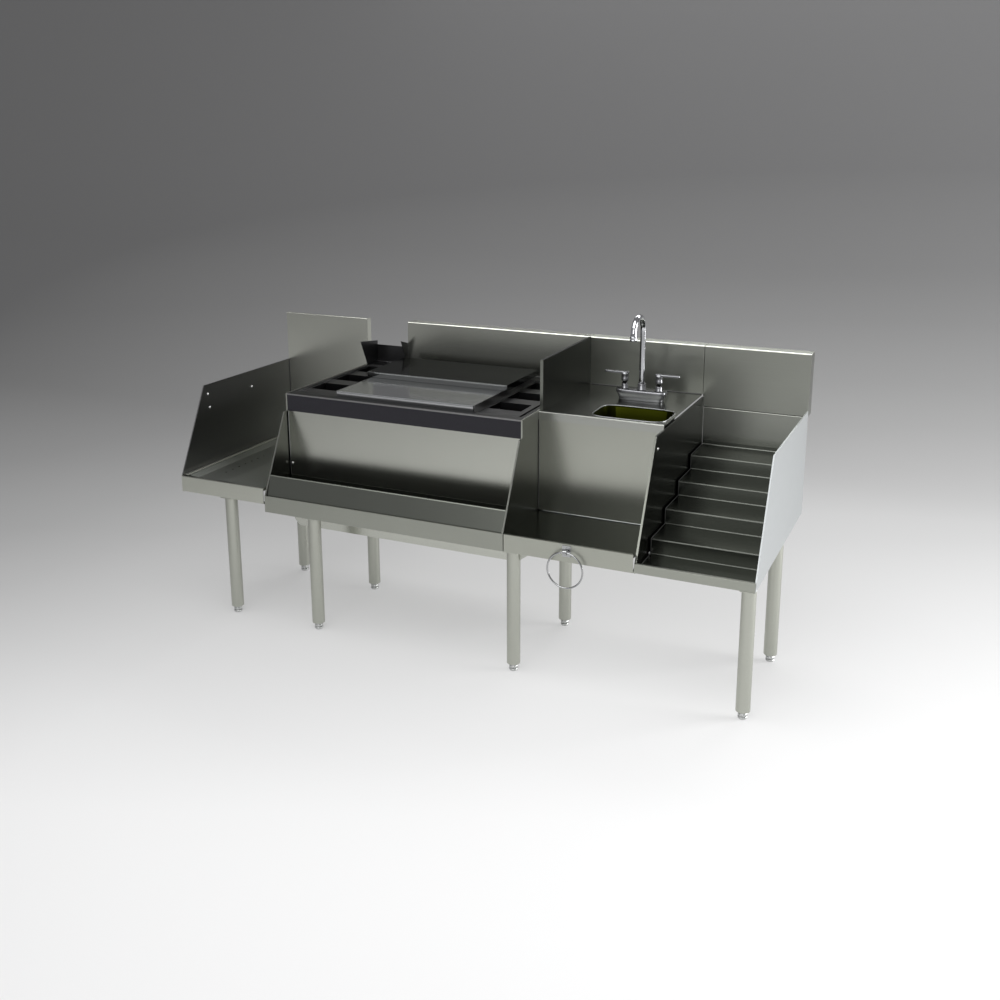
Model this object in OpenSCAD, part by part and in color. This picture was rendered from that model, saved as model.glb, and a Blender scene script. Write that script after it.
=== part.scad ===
// Underbar work station in stainless sheet: a drainboard, an insulated ice bin with a
// bottle rail, a hand sink with a mixer tap and a stepped bottle display, on eight legs.
// X runs along the bar from left to right, Y from front to back and Z up from the floor.

/* [Modules] */
// Width of the drainboard module
drain_w = 337; // [300:1:400]
// Width of the ice bin module
bin_w = 855; // [800:1:920]
// Width of the hand sink module
sink_w = 406; // [396:1:440]
// Width of the bottle display module
display_w = 343; // [300:1:420]

/* [Depths] */
// Front apron to the back of the backsplash
body_d = 762; // [745:1:790]
// Depth of the hollow backsplash
splash_d = 54; // [45:1:60]
// Front apron to the ice bin's front wall
rail_d = 148; // [135:1:160]
// Front apron to the sink's front panel
shelf_d = 270; // [250:1:280]
// Drainboard's riser in front of the backsplash
riser_lead = 66; // [50:1:80]
// Step between the sink's front panel and the divider
divider_setback = 10; // [6:1:16]

/* [Heights] */
// Underside of the aprons above the floor
apron_z = 394; // [380:1:400]
// Height of the aprons
apron_h = 55; // [50:1:60]
// Height of the display's lower apron
display_apron_h = 29; // [26:1:34]
// Top of the ice bin
work_z = 762; // [755:1:770]
// Sink deck below the top of the ice bin
deck_drop = 5; // [3:0.5:7]
// Top of the right end splash below the top of the ice bin
end_drop = 25; // [15:1:40]
// Top of the panel between sink and display below the top of the ice bin
mid_drop = 12; // [10:1:20]
// Height of the backsplash above the ice bin
splash_h = 159; // [145:1:180]
// Seam of the display's back panel below the top of the ice bin
seam_drop = 45; // [35:1:60]
// Underside of the ice bin
bin_bottom_z = 304; // [290:1:330]
// Height of the dark band along the bin's top front edge
fascia_h = 54; // [48:1:60]
// Drainboard's apron above the other aprons
drain_raise = 25; // [15:1:35]
// Top of the drainboard's splash above the right end splash
left_splash_extra = 19; // [10:1:25]
// Drainboard's riser above the backsplash
riser_extra = 14; // [5:1:25]
// Floor of the low shelf in front of the sink
shelf_z = 437; // [434:0.5:440]

/* [Sheet metal] */
// Thickness of the stainless sheet
sheet = 1.6; // [1.2:0.1:2]
// Outside radius of a bend
bend_r = 3.2; // [2.6:0.1:4]
// Lean of the sloped panel edges, depth over height
lean = 0.49; // [0.45:0.01:0.53]
// Thickness of the hemmed side panels
hem_t = 4; // [3.4:0.1:6]
// Thickness of the panel between sink and display
mid_t = 6; // [5:0.5:8]
// Thickness of the folded divider
divider_t = 10; // [8:0.5:14]

/* [Drainboard] */
// Pan floor below the top of the drainboard's apron
pan_drop = 9; // [8:0.5:14]
// Width of the hemmed ridge along the pan's left side
ridge_w = 18; // [14:1:22]
// Top of that ridge above the pan floor
ridge_h = 14; // [12:1:20]
// Left facet of the lift-out drain sheet
facet_w = 37; // [30:1:45]
// Width of its perforated strip
strip_w = 116; // [100:1:130]
// Diameter of a drain hole
drain_hole_d = 6.5; // [5:0.5:8]
// Pitch of the drain holes
drain_hole_pitch = 35.2; // [28:0.1:45]
// Depth of the returns at the riser's ends
riser_return = 25; // [18:1:35]
// Gap between the drainboard's apron and the ice bin
module_gap = 4; // [3:0.5:6]

/* [Hose chase] */
// Width of the notch in the backsplash
chase_w = 130; // [110:1:150]
// Height of the chase's back wall
chase_h = 66; // [45:1:75]
// Height of its cheeks
cheek_h = 96; // [80:1:110]
// How far the cheeks stand out of the backsplash
cheek_reach = 52; // [35:1:53]

/* [Ice bin] */
// Width of the rim at the ends
rim_w = 19; // [14:1:24]
// Width of the rim along the front
rim_front = 30; // [24:1:36]
// Width of the ledge at the back
rim_back = 53; // [45:1:60]
// Foam between shell and liner at the bottom
foam_t = 34; // [25:1:45]
// Fall of the liner's floor towards the drain
floor_fall = 12; // [6:1:18]
// Corner cut under the shell
shell_cut = 20; // [12:1:28]
// Thickness of the dark band
fascia_t = 4; // [3:0.5:6]

/* [Bottle wells] */
// Width of a well opening
well_w = 112; // [105:1:118]
// Width of the bars between the well openings
well_bar = 59; // [50:1:65]
// Depth of the well box
well_h = 185; // [150:1:220]
// Front of the first well behind the front rim
well_lead = 82; // [76:1:85]
// Right hand well from the right rim
well_right_inset = 37; // [30:1:42]

/* [Covers] */
// Width of the front cover
cover_w = 495; // [480:1:500]
// Height of the front cover
cover_h = 17.7; // [15:0.1:20]
// Height of the rear cover
rear_cover_h = 19.7; // [17:0.1:24]
// Extra width of the rear cover
rear_cover_extra = 31; // [26:1:36]
// How far the rear cover laps over the front one
cover_lap = 40; // [30:1:60]

/* [Speed rail] */
// Height of the rail's sloped front above the apron
band_h = 64; // [50:1:75]
// Lean of the rail's sloped front, depth over height
band_lean = 0.38; // [0.3:0.01:0.45]
// Floor of the rail below the apron's top
rail_drop = 28; // [22:1:30]

/* [Hand sink] */
// Bowl opening along the bar
bowl_w = 240; // [225:1:242]
// Front to back size of the bowl opening, as a share of the deck's depth
bowl_share = 0.365; // [0.34:0.005:0.4]
// Bowl depth
bowl_h = 180; // [150:1:200]
// Corner radius of the bowl
bowl_r = 44; // [35:1:50]
// Bowl to the right end of the module
bowl_inset = 12; // [10:0.5:14]
// Bowl behind the deck's front edge
bowl_lead = 26; // [22:1:32]
// Outer diameter of the drain tailpiece
tail_d = 38.1; // [36:0.1:40]
// Length of the drain tailpiece
tail_l = 110; // [90:1:130]

/* [Mixer tap] */
// Distance between the valve stems
tap_centres = 115; // [102:1:120]
// Tap from the left end of the sink module
tap_x = 240; // [225:1:245]
// Tap from the front of the deck, as a share of the deck's depth
tap_share = 0.662; // [0.62:0.002:0.7]
// Height of the tap's body
tap_h = 33; // [26:1:38]
// Outer diameter of the spout tube
spout_d = 19; // [17:0.5:22]
// Height of the spout's straight part above the body
spout_rise = 194; // [170:1:230]
// Bend radius of the spout
spout_r = 50; // [36:1:56]
// Length of the outlet under the bend
spout_drop = 8; // [7:1:34]
// Length of a lever
lever_l = 62; // [50:1:90]

/* [Towel ring] */
// Outside diameter of the ring
ring_d = 114; // [100:1:120]
// Wire diameter of the ring
ring_wire = 5.2; // [4:0.2:6]
// Distance of the ring's eye from the apron
ring_stand = 14; // [12:0.5:18]

/* [Bottle display] */
// Number of treads
treads = 5; // [4:1:6]
// Rise of a tread
tread_rise = 47; // [42:1:50]
// Clearance beside the stepped insert
step_side_gap = 2; // [1.5:0.5:8]

/* [Legs] */
// Outer diameter of the leg tube
leg_d = 41.3; // [38:0.1:45]
// Wall of the leg tube
leg_wall = 1.5; // [1.2:0.1:2]
// Height of a foot
foot_h = 25; // [22:1:32]
// Largest diameter of a foot
foot_d = 27; // [24:1:32]
// Diameter of a foot's threaded stem
stem_d = 15.9; // [12:0.1:18]
// Travel of a foot
foot_travel = 25; // [15:1:30]
// Front legs behind the apron's face
leg_y = 32; // [30:1:36]
// Rear legs in front of the backsplash
rear_leg_lead = 318; // [298:1:338]

/* [Hidden] */
$fn = 48;

// Clearances and small common sizes
over = 1;
seam_gap = 0.4;
// Open joint beside the sink's front panel and apron
panel_seam = 2.5;
touch_gap = 0.2;
slide_gap = 0.6;
running_gap = 0.05;
return_w = 22;
hem_w = 8;
arc_steps = 3;

// Module ends along X, and depths measured from the face of the bin's apron
x_bin = drain_w;
x_sink = x_bin + bin_w;
x_disp = x_sink + sink_w;
x_end = x_disp + display_w;
splash_y = body_d - splash_d;
apron_top = apron_z + apron_h;
end_splash_z = work_z - end_drop;
mid_splash_z = work_z - mid_drop;
splash_top_z = work_z + splash_h;
seam_z = work_z - seam_drop;
deck_z = work_z - deck_drop;
rim_lip = 5;
fascia_z = work_z - fascia_h - rim_lip;

// Folded backsplash
splash_hem = 40;
splash_seam = 1.5;

// Drainboard
drain_low = apron_z + drain_raise;
drain_top = apron_top + drain_raise;
pan_z = drain_top - pan_drop;
riser_y = splash_y - riser_lead;
riser_top = splash_top_z + riser_extra;
riser_hem = 12;
insert_gap = 3;
insert_edge_z = 11;
insert_crease_z = 7;
insert_fold_z = 9;
insert_right_z = 5;
insert_lead = 88;
hole_row_share = 0.42;
nipple_d = 33.4;
nipple_wall = 3.4;
nipple_l = 60;
nipple_flange_d = 58;
nipple_nut_d = 52;
nipple_nut_h = 8;
pan_drain_x = drain_w / 2;
pan_drain_y = riser_y - 2 * nipple_flange_d;

// Hose chase
chase_x = x_bin + rim_w;
chase_end = chase_x + chase_w;
cheek_lead = 8;
cheek_back_share = 0.84;

// Ice bin: side panels, shell, liner and rim
shell_side = 10;
shell_x = x_bin + shell_side;
shell_end = x_sink - shell_side;
shell_top = work_z - sheet - touch_gap;
open_x = x_bin + rim_w;
open_end = x_sink - rim_w;
open_y = rail_d + rim_front;
open_back = splash_y - rim_back;
liner_floor = bin_bottom_z + sheet + foam_t;
rim_skirt = 14;
tray_ledge = 8;
ledge_z = work_z - rim_skirt;
liner_top = ledge_z - touch_gap;
liner_lip = 7;
bin_drain_y = (open_y + open_back) / 2;
bin_mid = (x_bin + x_sink) / 2;
panel_lip = 5;

// Bottle wells
tray_z = ledge_z + touch_gap;
tray_plate_h = 6;
tray_gap = 0.8;
wells = 3;
well_left_x = open_x + tray_gap + sheet;
well_right_x = open_end - well_right_inset - well_w;
tray_overhang = 18;
tray_front = open_y + tray_gap;
tray_back = open_back - tray_gap;
well_y = open_y + well_lead;
well_tail = 13;
well_l = (open_back - well_tail - well_y - (wells - 1) * well_bar) / wells;
well_pitch = well_l + well_bar;
slot_w = 8;
slots = 3;
slot_margin = 10;

// Covers and their rails
rail_seat = 13;
rail_play = 1.5;
rail_half = cover_w / 2 + rail_play + sheet;
cover_seat_gap = 0.3;
cover_front_lap = 3;
cover_y = open_y - cover_front_lap;
cover_l = (open_back - cover_y + cover_lap) / 2;
rear_cover_w = cover_w + rear_cover_extra;
rear_cover_y = cover_y + cover_l - cover_lap;
rear_cover_z = work_z + cover_seat_gap + cover_h + slide_gap;
rail_wall_top = rear_cover_z - cover_seat_gap;
bead_d = 5;

// Speed rail
band_foot = hem_w + touch_gap + sheet;
rail_back_h = 60;
rail_floor = apron_top - rail_drop;

// Sink
deck_d = splash_y - shelf_d;
bowl_l = deck_d * bowl_share;
bowl_x = x_disp - bowl_inset - bowl_w;
bowl_y = shelf_d + bowl_lead;
bowl_mid = [bowl_x + bowl_w / 2, bowl_y + bowl_l / 2];
bowl_taper = 10;
bowl_floor_r = 20;
bowl_flange = 8;
strainer_d = 50;
strainer_t = 3;
strainer_hole_d = 7;
strainer_holes = 6;
outlet_d = 42;
deck_edge_h = 4;
deck_nose = 22;
deck_roll = 9;
panel_foot = 10;

// Mixer tap
tap = [x_sink + tap_x, shelf_d + deck_d * tap_share];
tap_foot = [148, 46];
tap_top = [166, 54];
tap_corner = 12;
spout_wall = 1.6;
collar_d = 30;
collar_h = 26;
socket_h = 20;
bonnet_d = 25;
bonnet_h = 24;
valve_d = 10;
valve_grip = 14;
hub_d = 23;
hub_h = 30;
hub_bore_h = 16;
lever_tip = 14;
lever_root = 18;
lever_t = 8;
lever_tail = 14;
aerator_d = 24;
aerator_h = 15;
aerator_grip = 6;
shank_d = 20.9;
shank_l = 70;
shank_wall = 3;
nut_d = 38;
nut_h = 9;

// Towel ring
ring_x = x_sink + sink_w / 2;
ring_r = (ring_d - ring_wire) / 2;
ring_z = apron_top - 4 * ring_wire;
eye_d = 14;
eye_l = 11;
eye_play = 1.1;
bracket_w = 26;
bracket_h = 34;
bracket_t = 3;
ring_reach = ring_stand + eye_d / 2;

// Bottle display
display_apron_top = apron_z + display_apron_h;
step_front = hem_w + touch_gap + sheet;
tread_l = (splash_y - step_front - sheet - touch_gap) / treads;
step_z = apron_z + 2 * sheet + bend_r;
step_up = 14;

// Legs: places as [x, y, z of the top]
leg_plate = 60;
leg_plate_t = 3;
leg_top = apron_z - leg_plate_t;
end_leg_inset = leg_d / 2 + sheet;
drain_leg_share = 0.526;
bin_leg_share = 0.1975;
sink_leg_inset = 21;
sink_rear_inset = 49;
drain_rear_extra = 42;
end_rear_extra = 22;
drain_leg_top = drain_low - leg_plate_t;
rear_leg_y = splash_y - rear_leg_lead;
LEGS = [[drain_w * drain_leg_share, leg_y, drain_leg_top],
        [x_bin + bin_w * bin_leg_share, leg_y, leg_top],
        [x_sink + sink_leg_inset, leg_y, leg_top],
        [x_end - end_leg_inset, leg_y, leg_top],
        [drain_w * drain_leg_share, rear_leg_y + drain_rear_extra, drain_leg_top],
        [x_bin + bin_w * bin_leg_share, rear_leg_y, bin_bottom_z - leg_plate_t],
        [x_sink + sink_rear_inset, rear_leg_y, leg_top],
        [x_end - end_leg_inset, rear_leg_y + end_rear_extra, leg_top]];
plug_h = 22;
foot_tip_d = 18;
foot_chamfer = 7;
foot_neck = 4;
stem_l = plug_h + foot_travel + foot_neck;
rail_bar_w = 64;
gusset_w = 40;
gusset_h = 30;

// Bolt heads, as shares of the depth behind a panel's sloped edge and of its height
bolt_d = 9;
bolt_h = 3.5;
splash_bolt_shares = [[0.069, 0.88], [0.12, 0.71], [0.551, 0.79]];
mid_bolt_shares = [[0.179, 0.038], [0.054, 0.888]];
bin_bolt_inset = 12.4;
bin_bolt_rise = 73;

// Outline helpers: a path is a list of points, and its wall lies to the right of travel
function unit(v) = v / norm(v);
function left_of(v) = [-v.y, v.x];
function mitre(a, b, c, d) =
    let (n = left_of(unit(b - a)), m = left_of(unit(c - b)))
    b + (n + m) * d / (1 + n * m);
function bend_at(a, b, c, r) =
    let (u = unit(b - a), v = unit(c - b),
         turn = atan2(u.x * v.y - u.y * v.x, u * v),
         cut = r * tan(abs(turn) / 2),
         centre = b - u * cut + left_of(u) * r * sign(turn))
    [for (i = [0 : arc_steps])
        let (q = turn * i / arc_steps, w = -left_of(u) * sign(turn))
        centre + r * [w.x * cos(q) - w.y * sin(q), w.x * sin(q) + w.y * cos(q)]];
function bent(path, r) =
    [for (i = [0 : len(path) - 1])
        each (i == 0 || i == len(path) - 1)
            ? [path[i]]
            : bend_at(path[i - 1], path[i], path[i + 1], r)];
function beside(path, d) =
    [for (i = [0 : len(path) - 1])
        i == 0 ? path[0] + left_of(unit(path[1] - path[0])) * d
        : i == len(path) - 1 ? path[i] + left_of(unit(path[i] - path[i - 1])) * d
        : mitre(path[i - 1], path[i], path[i + 1], d)];
function backwards(list) = [for (i = [len(list) - 1 : -1 : 0]) list[i]];
function wall(path, d) = concat(path, backwards(beside(path, -d)));
function inset(points, d) =
    let (n = len(points))
    [for (i = [0 : n - 1])
        mitre(points[(i + n - 1) % n], points[i], points[(i + 1) % n], d)];

// Everything is drawn from the left end and the apron's face, then centred
module placed() {
    translate([-x_end / 2, (ring_reach - body_d) / 2, 0]) children();
}

// A 2-D shape in Y and Z, run along X
module run_x(from, to) {
    translate([from, 0, 0]) rotate([90, 0, 90]) linear_extrude(to - from) children();
}

// A 2-D shape in X and Z, run along Y
module run_y(from, to) {
    translate([0, to, 0]) rotate([90, 0, 0]) linear_extrude(to - from) children();
}

module block(lo, hi) {
    translate(lo) cube(hi - lo);
}

// Folded sheet along X from its path in Y and Z
module fold_x(from, to, path) {
    run_x(from, to) polygon(wall(bent(path, bend_r), sheet));
}

module fold_y(from, to, path) {
    run_y(from, to) polygon(wall(bent(path, bend_r), sheet));
}

module rod(at, d, h) {
    translate(at) cylinder(d = d, h = h);
}

// A flat panel with its edges turned in: skin at skin_x, edges reaching to edge_x
module turned_panel(outline, skin_x, edge_x) {
    step = sign(edge_x - skin_x) * sheet;
    run_x(min(skin_x, skin_x + step), max(skin_x, skin_x + step)) polygon(outline);
    run_x(min(skin_x, edge_x), max(skin_x, edge_x)) difference() {
        polygon(outline);
        polygon(inset(outline, sheet));
    }
}

// Side splash outline in Y and Z, its sloped edge rising from foot
function splash_outline(foot, top, low, back) =
    [[foot.x, low], [back - touch_gap, low], [back - touch_gap, top],
     [foot.x + (top - foot.y) * lean, top], foot];

// Backsplash in Y and Z: front, top and a short fall at the back
module splash_piece(from, to, low) {
    fold_x(from, to, [[splash_y, low], [splash_y, splash_top_z], [body_d, splash_top_z],
                      [body_d, splash_top_z - splash_hem]]);
    for (x = [from, to - sheet])
        block([x, splash_y + sheet / 2, low],
              [x + sheet, body_d - bend_r, splash_top_z - sheet / 2]);
}

// Apron: a full-width face whose bottom return and top hem stop short of the side panels
module apron_piece(from, to, trim_from, trim_to, height) {
    fold_x(from + trim_from, to - trim_to, [[return_w, apron_z], [0, apron_z],
                                            [0, apron_z + height], [hem_w, apron_z + height]]);
    block([from, 0, apron_z], [to, sheet, apron_z + height]);
}

module drain_pan() color("lightgray") placed() {
    x0 = hem_t + touch_gap;
    x1 = x_bin - module_gap;
    difference() {
        union() {
            fold_x(x0, x1, [[return_w, drain_low], [0, drain_low], [0, drain_top],
                            [hem_w, drain_top], [hem_w, pan_z],
                            [riser_y - touch_gap, pan_z],
                            [riser_y - touch_gap, pan_z + ridge_h]]);
            block([0, 0, drain_low], [x0 + over, sheet, drain_top]);
            fold_y(hem_w, riser_y - sheet,
                   [[x0, pan_z], [x0, pan_z + ridge_h], [x0 + ridge_w, pan_z + ridge_h],
                    [x0 + ridge_w, pan_z + ridge_h - hem_w]]);
            block([x1 - sheet, hem_w / 2, pan_z - sheet],
                  [x1, riser_y - sheet, drain_top - sheet / 2]);
        }
        rod([pan_drain_x, pan_drain_y, pan_z - sheet - over], nipple_d + 2 * touch_gap,
            sheet + 2 * over);
    }
}

// Threaded nipple hanging from a floor at its top, locked by a nut below the sheet under it
module nipple(at, sheet_z) {
    rod(at - [0, 0, nipple_l], nipple_d, nipple_l + sheet);
    translate([at.x, at.y, sheet_z - touch_gap - nipple_nut_h])
        cylinder(d = nipple_nut_d, h = nipple_nut_h, $fn = 6);
}

module nipple_bore(at, h) {
    rod(at - [0, 0, nipple_l + over], nipple_d - 2 * nipple_wall, nipple_l + over + h);
}

module pan_drain() color("silver") placed() {
    at = [pan_drain_x, pan_drain_y, pan_z + touch_gap];
    difference() {
        union() {
            rod(at, nipple_flange_d, sheet);
            nipple(at, pan_z - sheet);
        }
        nipple_bore(at, sheet + over);
    }
}

module drain_insert() color("gray") placed() {
    x0 = hem_t + ridge_w + insert_gap;
    x1 = x_bin - module_gap - sheet - insert_gap;
    crease = x0 + facet_w;
    fold = crease + strip_w;
    hole_x = crease + strip_w * hole_row_share;
    foot = pan_z + slide_gap;
    first = hem_w + insert_lead;
    count = floor((riser_y - insert_lead - first) / drain_hole_pitch);
    difference() {
        run_y(hem_w + insert_gap, riser_y - sheet - insert_gap)
            polygon(wall([[x0, foot], [x0, pan_z + insert_edge_z],
                          [crease, pan_z + insert_crease_z], [fold, pan_z + insert_fold_z],
                          [x1, pan_z + insert_right_z], [x1, foot]], sheet));
        for (i = [0 : count])
            rod([hole_x, first + i * drain_hole_pitch, pan_z], drain_hole_d, apron_h);
    }
}

module left_splash() color("dimgray") placed() {
    top = end_splash_z + left_splash_extra;
    foot = [sheet + touch_gap, drain_top];
    turned_panel(splash_outline(foot, top, drain_low, riser_y), 0, hem_t);
}

// Riser of the drainboard: face, end returns and a small hem along its top
module left_riser() color("lightgray") placed() {
    x1 = chase_x - sheet - touch_gap;
    low = pan_z + ridge_h + touch_gap;
    difference() {
        union() {
            fold_x(0, x1, [[riser_y, low], [riser_y, riser_top],
                           [riser_y + riser_hem, riser_top],
                           [riser_y + riser_hem, riser_top - hem_w]]);
            for (x = [0, x1 - sheet])
                block([x, riser_y + sheet / 2, low],
                      [x + sheet, riser_y + riser_return, riser_top - sheet / 2]);
        }
        block([x_bin - touch_gap, riser_y - over, low - over],
              [x1 + over, riser_y + riser_return + over, work_z + touch_gap]);
    }
}

// Cheek of the hose chase in Y and Z, standing out of the face at face_y
function cheek(face_y) =
    [[face_y - cheek_lead, work_z + touch_gap], [splash_y, work_z + touch_gap],
     [splash_y, work_z + cheek_h * cheek_back_share], [face_y - cheek_reach, work_z + cheek_h]];

module hose_chase() color("darkslategray") placed() {
    run_x(chase_x - sheet, chase_x) polygon(cheek(riser_y));
    run_x(chase_end - touch_gap - sheet, chase_end - touch_gap) polygon(cheek(splash_y));
    fold_x(chase_x - sheet / 2, chase_end - touch_gap - sheet / 2,
           [[splash_y - cheek_reach, work_z + touch_gap + sheet],
            [splash_y - sheet, work_z + touch_gap + sheet],
            [splash_y - sheet, work_z + chase_h]]);
}

// End panels of the ice bin, with the sloped cheek of the speed rail
function bin_panel_outline() =
    let (rise = fascia_z - apron_top)
    [[sheet + touch_gap, apron_z], [splash_y, apron_z], [splash_y, work_z],
     [rail_d - fascia_t, work_z], [rail_d - fascia_t, fascia_z],
     [sheet + touch_gap + rise * lean, fascia_z], [sheet + touch_gap, apron_top]];

module bin_left_panel() color("silver") placed() {
    turned_panel(bin_panel_outline(), x_bin, x_bin + panel_lip);
}

module bin_right_panel() color("silver") placed() {
    turned_panel(bin_panel_outline(), x_sink, x_sink - panel_lip);
}

// Outside of the shell in X and Z, its lower corners cut off
function shell_section(top) =
    [[shell_x, top], [shell_x, bin_bottom_z + shell_cut], [shell_x + shell_cut, bin_bottom_z],
     [shell_end - shell_cut, bin_bottom_z], [shell_end, bin_bottom_z + shell_cut],
     [shell_end, top]];

module bin_shell() color("lightgray") placed() {
    difference() {
        union() {
            run_y(rail_d, splash_y) polygon(wall(shell_section(shell_top), -sheet));
            for (y = [rail_d, splash_y - sheet]) {
                run_y(y, y + sheet) polygon(shell_section(apron_z));
                block([x_bin + panel_lip + touch_gap, y, apron_z],
                      [x_sink - panel_lip - touch_gap, y + sheet, shell_top]);
            }
        }
        rod([bin_mid, bin_drain_y, bin_bottom_z - over], nipple_d + 2 * touch_gap,
            sheet + 2 * over);
    }
}

module bin_insulation() color("khaki") placed() {
    side = sheet + touch_gap;
    difference() {
        run_y(rail_d + side, splash_y - side) polygon(inset(shell_section(liner_top), side));
        run_y(open_y - side, open_back + side)
            polygon([[open_x - side, work_z], [open_x - side, liner_floor - side],
                     [bin_mid, liner_floor - floor_fall - touch_gap],
                     [open_end + side, liner_floor - side], [open_end + side, work_z]]);
        rod([bin_mid, bin_drain_y, bin_bottom_z], nipple_d + 2 * touch_gap, foam_t + sheet);
    }
}

module bin_liner() color("gainsboro") placed() {
    floor_low = liner_floor - floor_fall;
    difference() {
        union() {
            run_y(open_y - sheet, open_back + sheet)
                polygon([[open_x - sheet, liner_top], [open_x - sheet, liner_floor - sheet],
                         [bin_mid, floor_low], [open_end + sheet, liner_floor - sheet],
                         [open_end + sheet, liner_top]]);
            block([open_x - liner_lip, open_y - liner_lip, liner_top - sheet],
                  [open_end + liner_lip, open_back + liner_lip, liner_top]);
        }
        run_y(open_y, open_back)
            polygon([[open_x, work_z], [open_x, liner_floor],
                     [bin_mid, floor_low + sheet], [open_end, liner_floor],
                     [open_end, work_z]]);
        rod([bin_mid, bin_drain_y, bin_bottom_z], nipple_d + 2 * touch_gap, apron_z);
    }
}

module bin_drain() color("silver") placed() {
    at = [bin_mid, bin_drain_y, liner_floor - floor_fall + sheet];
    difference() {
        nipple(at, bin_bottom_z);
        nipple_bore(at, -sheet / 2);
        for (i = [0 : strainer_holes - 1])
            rotate_about(at, i * 360 / strainer_holes)
                rod(at + [nipple_d / 4, 0, -sheet - over], strainer_hole_d, 2 * sheet + 2 * over);
    }
}

module rotate_about(at, angle) {
    translate(at) rotate([0, 0, angle]) translate(-at) children();
}

module bin_rim() color("silver") placed() {
    x0 = x_bin + panel_lip + touch_gap;
    x1 = x_sink - panel_lip - touch_gap;
    front = rail_d - fascia_t;
    difference() {
        union() {
            block([x0, front, work_z - sheet], [x1, splash_y - touch_gap, work_z]);
            block([x0, front, work_z - rim_lip], [x1, front + sheet, work_z]);
            block([open_x - sheet, open_y - sheet, ledge_z],
                  [open_end + sheet, open_back + sheet, work_z]);
        }
        block([open_x, open_y + tray_ledge, ledge_z - over],
              [open_end, open_back - tray_ledge, work_z + over]);
        block([open_x, open_y, ledge_z + sheet], [open_end, open_back, work_z + over]);
    }
}

module bin_fascia() color("#2b2b2f") placed() {
    x0 = x_bin + panel_lip + touch_gap;
    x1 = x_sink - panel_lip - touch_gap;
    block([x0, rail_d - fascia_t, fascia_z],
          [x1, rail_d - touch_gap, work_z - rim_lip - touch_gap]);
}

// A bottle well: plate with three openings over a box with a slotted floor
module well_tray(x, left_over, right_over) {
    plate_z = tray_z + sheet + tray_plate_h;
    end_y = well_y + (wells - 1) * well_pitch + well_l;
    difference() {
        union() {
            block([x - sheet - left_over, tray_front, tray_z + sheet],
                  [x + well_w + sheet + right_over, tray_back, plate_z]);
            block([x - sheet, well_y - sheet, plate_z - well_h],
                  [x + well_w + sheet, end_y + sheet, plate_z]);
        }
        block([x - left_over, tray_front + sheet, tray_z],
              [x + well_w + right_over, well_y - 2 * sheet, plate_z - sheet]);
        for (i = [0 : wells - 1])
            block([x, well_y + i * well_pitch, plate_z - well_h + sheet],
                  [x + well_w, well_y + i * well_pitch + well_l, plate_z + over]);
        for (i = [0 : wells - 2])
            block([x, well_y + i * well_pitch + well_l + sheet, plate_z - well_h - over],
                  [x + well_w, well_y + (i + 1) * well_pitch - sheet, plate_z - sheet]);
        for (i = [0 : wells - 1], j = [0 : slots - 1])
            block([x + slot_margin,
                   well_y + i * well_pitch + well_l * (j + 0.5) / slots - slot_w / 2,
                   plate_z - well_h - over],
                  [x + well_w - slot_margin,
                   well_y + i * well_pitch + well_l * (j + 0.5) / slots + slot_w / 2,
                   plate_z - well_h + sheet + over]);
    }
}

module bottle_well_left() color("silver") placed() {
    well_tray(well_left_x, 0,
              bin_mid - rail_half - tray_gap - well_left_x - well_w - sheet);
}

module bottle_well_right() color("silver") placed() {
    well_tray(well_right_x, well_right_x - sheet - bin_mid - rail_half - tray_gap,
              tray_overhang);
}

// Rails that carry the front cover on a seat and the rear cover on their top edge
module cover_rails() color("silver") placed() {
    inner = cover_w / 2 + rail_play;
    for (side = [-1, 1]) {
        seat = [bin_mid + side * (inner - rail_seat), bin_mid + side * inner];
        web = [bin_mid + side * inner, bin_mid + side * (inner + sheet)];
        block([min(seat), open_y + tray_gap, work_z - sheet],
              [max(seat), open_back - tray_gap, work_z]);
        block([min(web), open_y + tray_gap, tray_z + sheet],
              [max(web), open_back - tray_gap, rail_wall_top]);
    }
}

// A cover: plate with turned-down edges and a bead along its front
module cover(w, y, z, h, foot) {
    x0 = bin_mid - w / 2;
    x1 = bin_mid + w / 2;
    difference() {
        block([x0, y, z], [x1, y + cover_l, z + h]);
        block([x0 + sheet, y + sheet, z - over], [x1 - sheet, y + cover_l - sheet, z + h - sheet]);
    }
    translate([x0, y + bead_d / 2 - over / 2, z + h - bead_d / 2])
        rotate([0, 90, 0]) cylinder(d = bead_d, h = w);
    for (side = [-1, 1]) {
        lip = [bin_mid + side * w / 2, bin_mid + side * (w / 2 - foot)];
        block([min(lip), y, z], [max(lip), y + cover_l, z + sheet]);
    }
}

module front_cover() color("silver") placed() {
    cover(cover_w, cover_y, work_z + cover_seat_gap, cover_h, 2 * sheet);
}

module rear_cover() color("silver") placed() {
    foot = (rear_cover_w - cover_w) / 2 - slide_gap;
    cover(rear_cover_w, rear_cover_y, rear_cover_z, rear_cover_h, foot);
}

module speed_rail() color("gray") placed() {
    fold_x(x_bin + panel_lip + touch_gap, x_sink - panel_lip - touch_gap,
           [[band_foot, apron_top], [band_foot, rail_floor],
            [rail_d - touch_gap - sheet, rail_floor],
            [rail_d - touch_gap - sheet, rail_floor + rail_back_h]]);
}

// Sloped front of the speed rail, welded along the top of its trough
module rail_band() color("gray") placed() {
    top = [band_foot + band_h * band_lean, apron_top + band_h];
    fold_x(x_bin + panel_lip + touch_gap, x_sink - panel_lip - touch_gap,
           [[top.x + hem_w, top.y - hem_w], top, [band_foot, apron_top + touch_gap]]);
}

module bin_apron() color("lightgray") placed() {
    apron_piece(x_bin + seam_gap, x_sink - seam_gap, panel_lip, panel_lip, apron_h);
}

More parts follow.
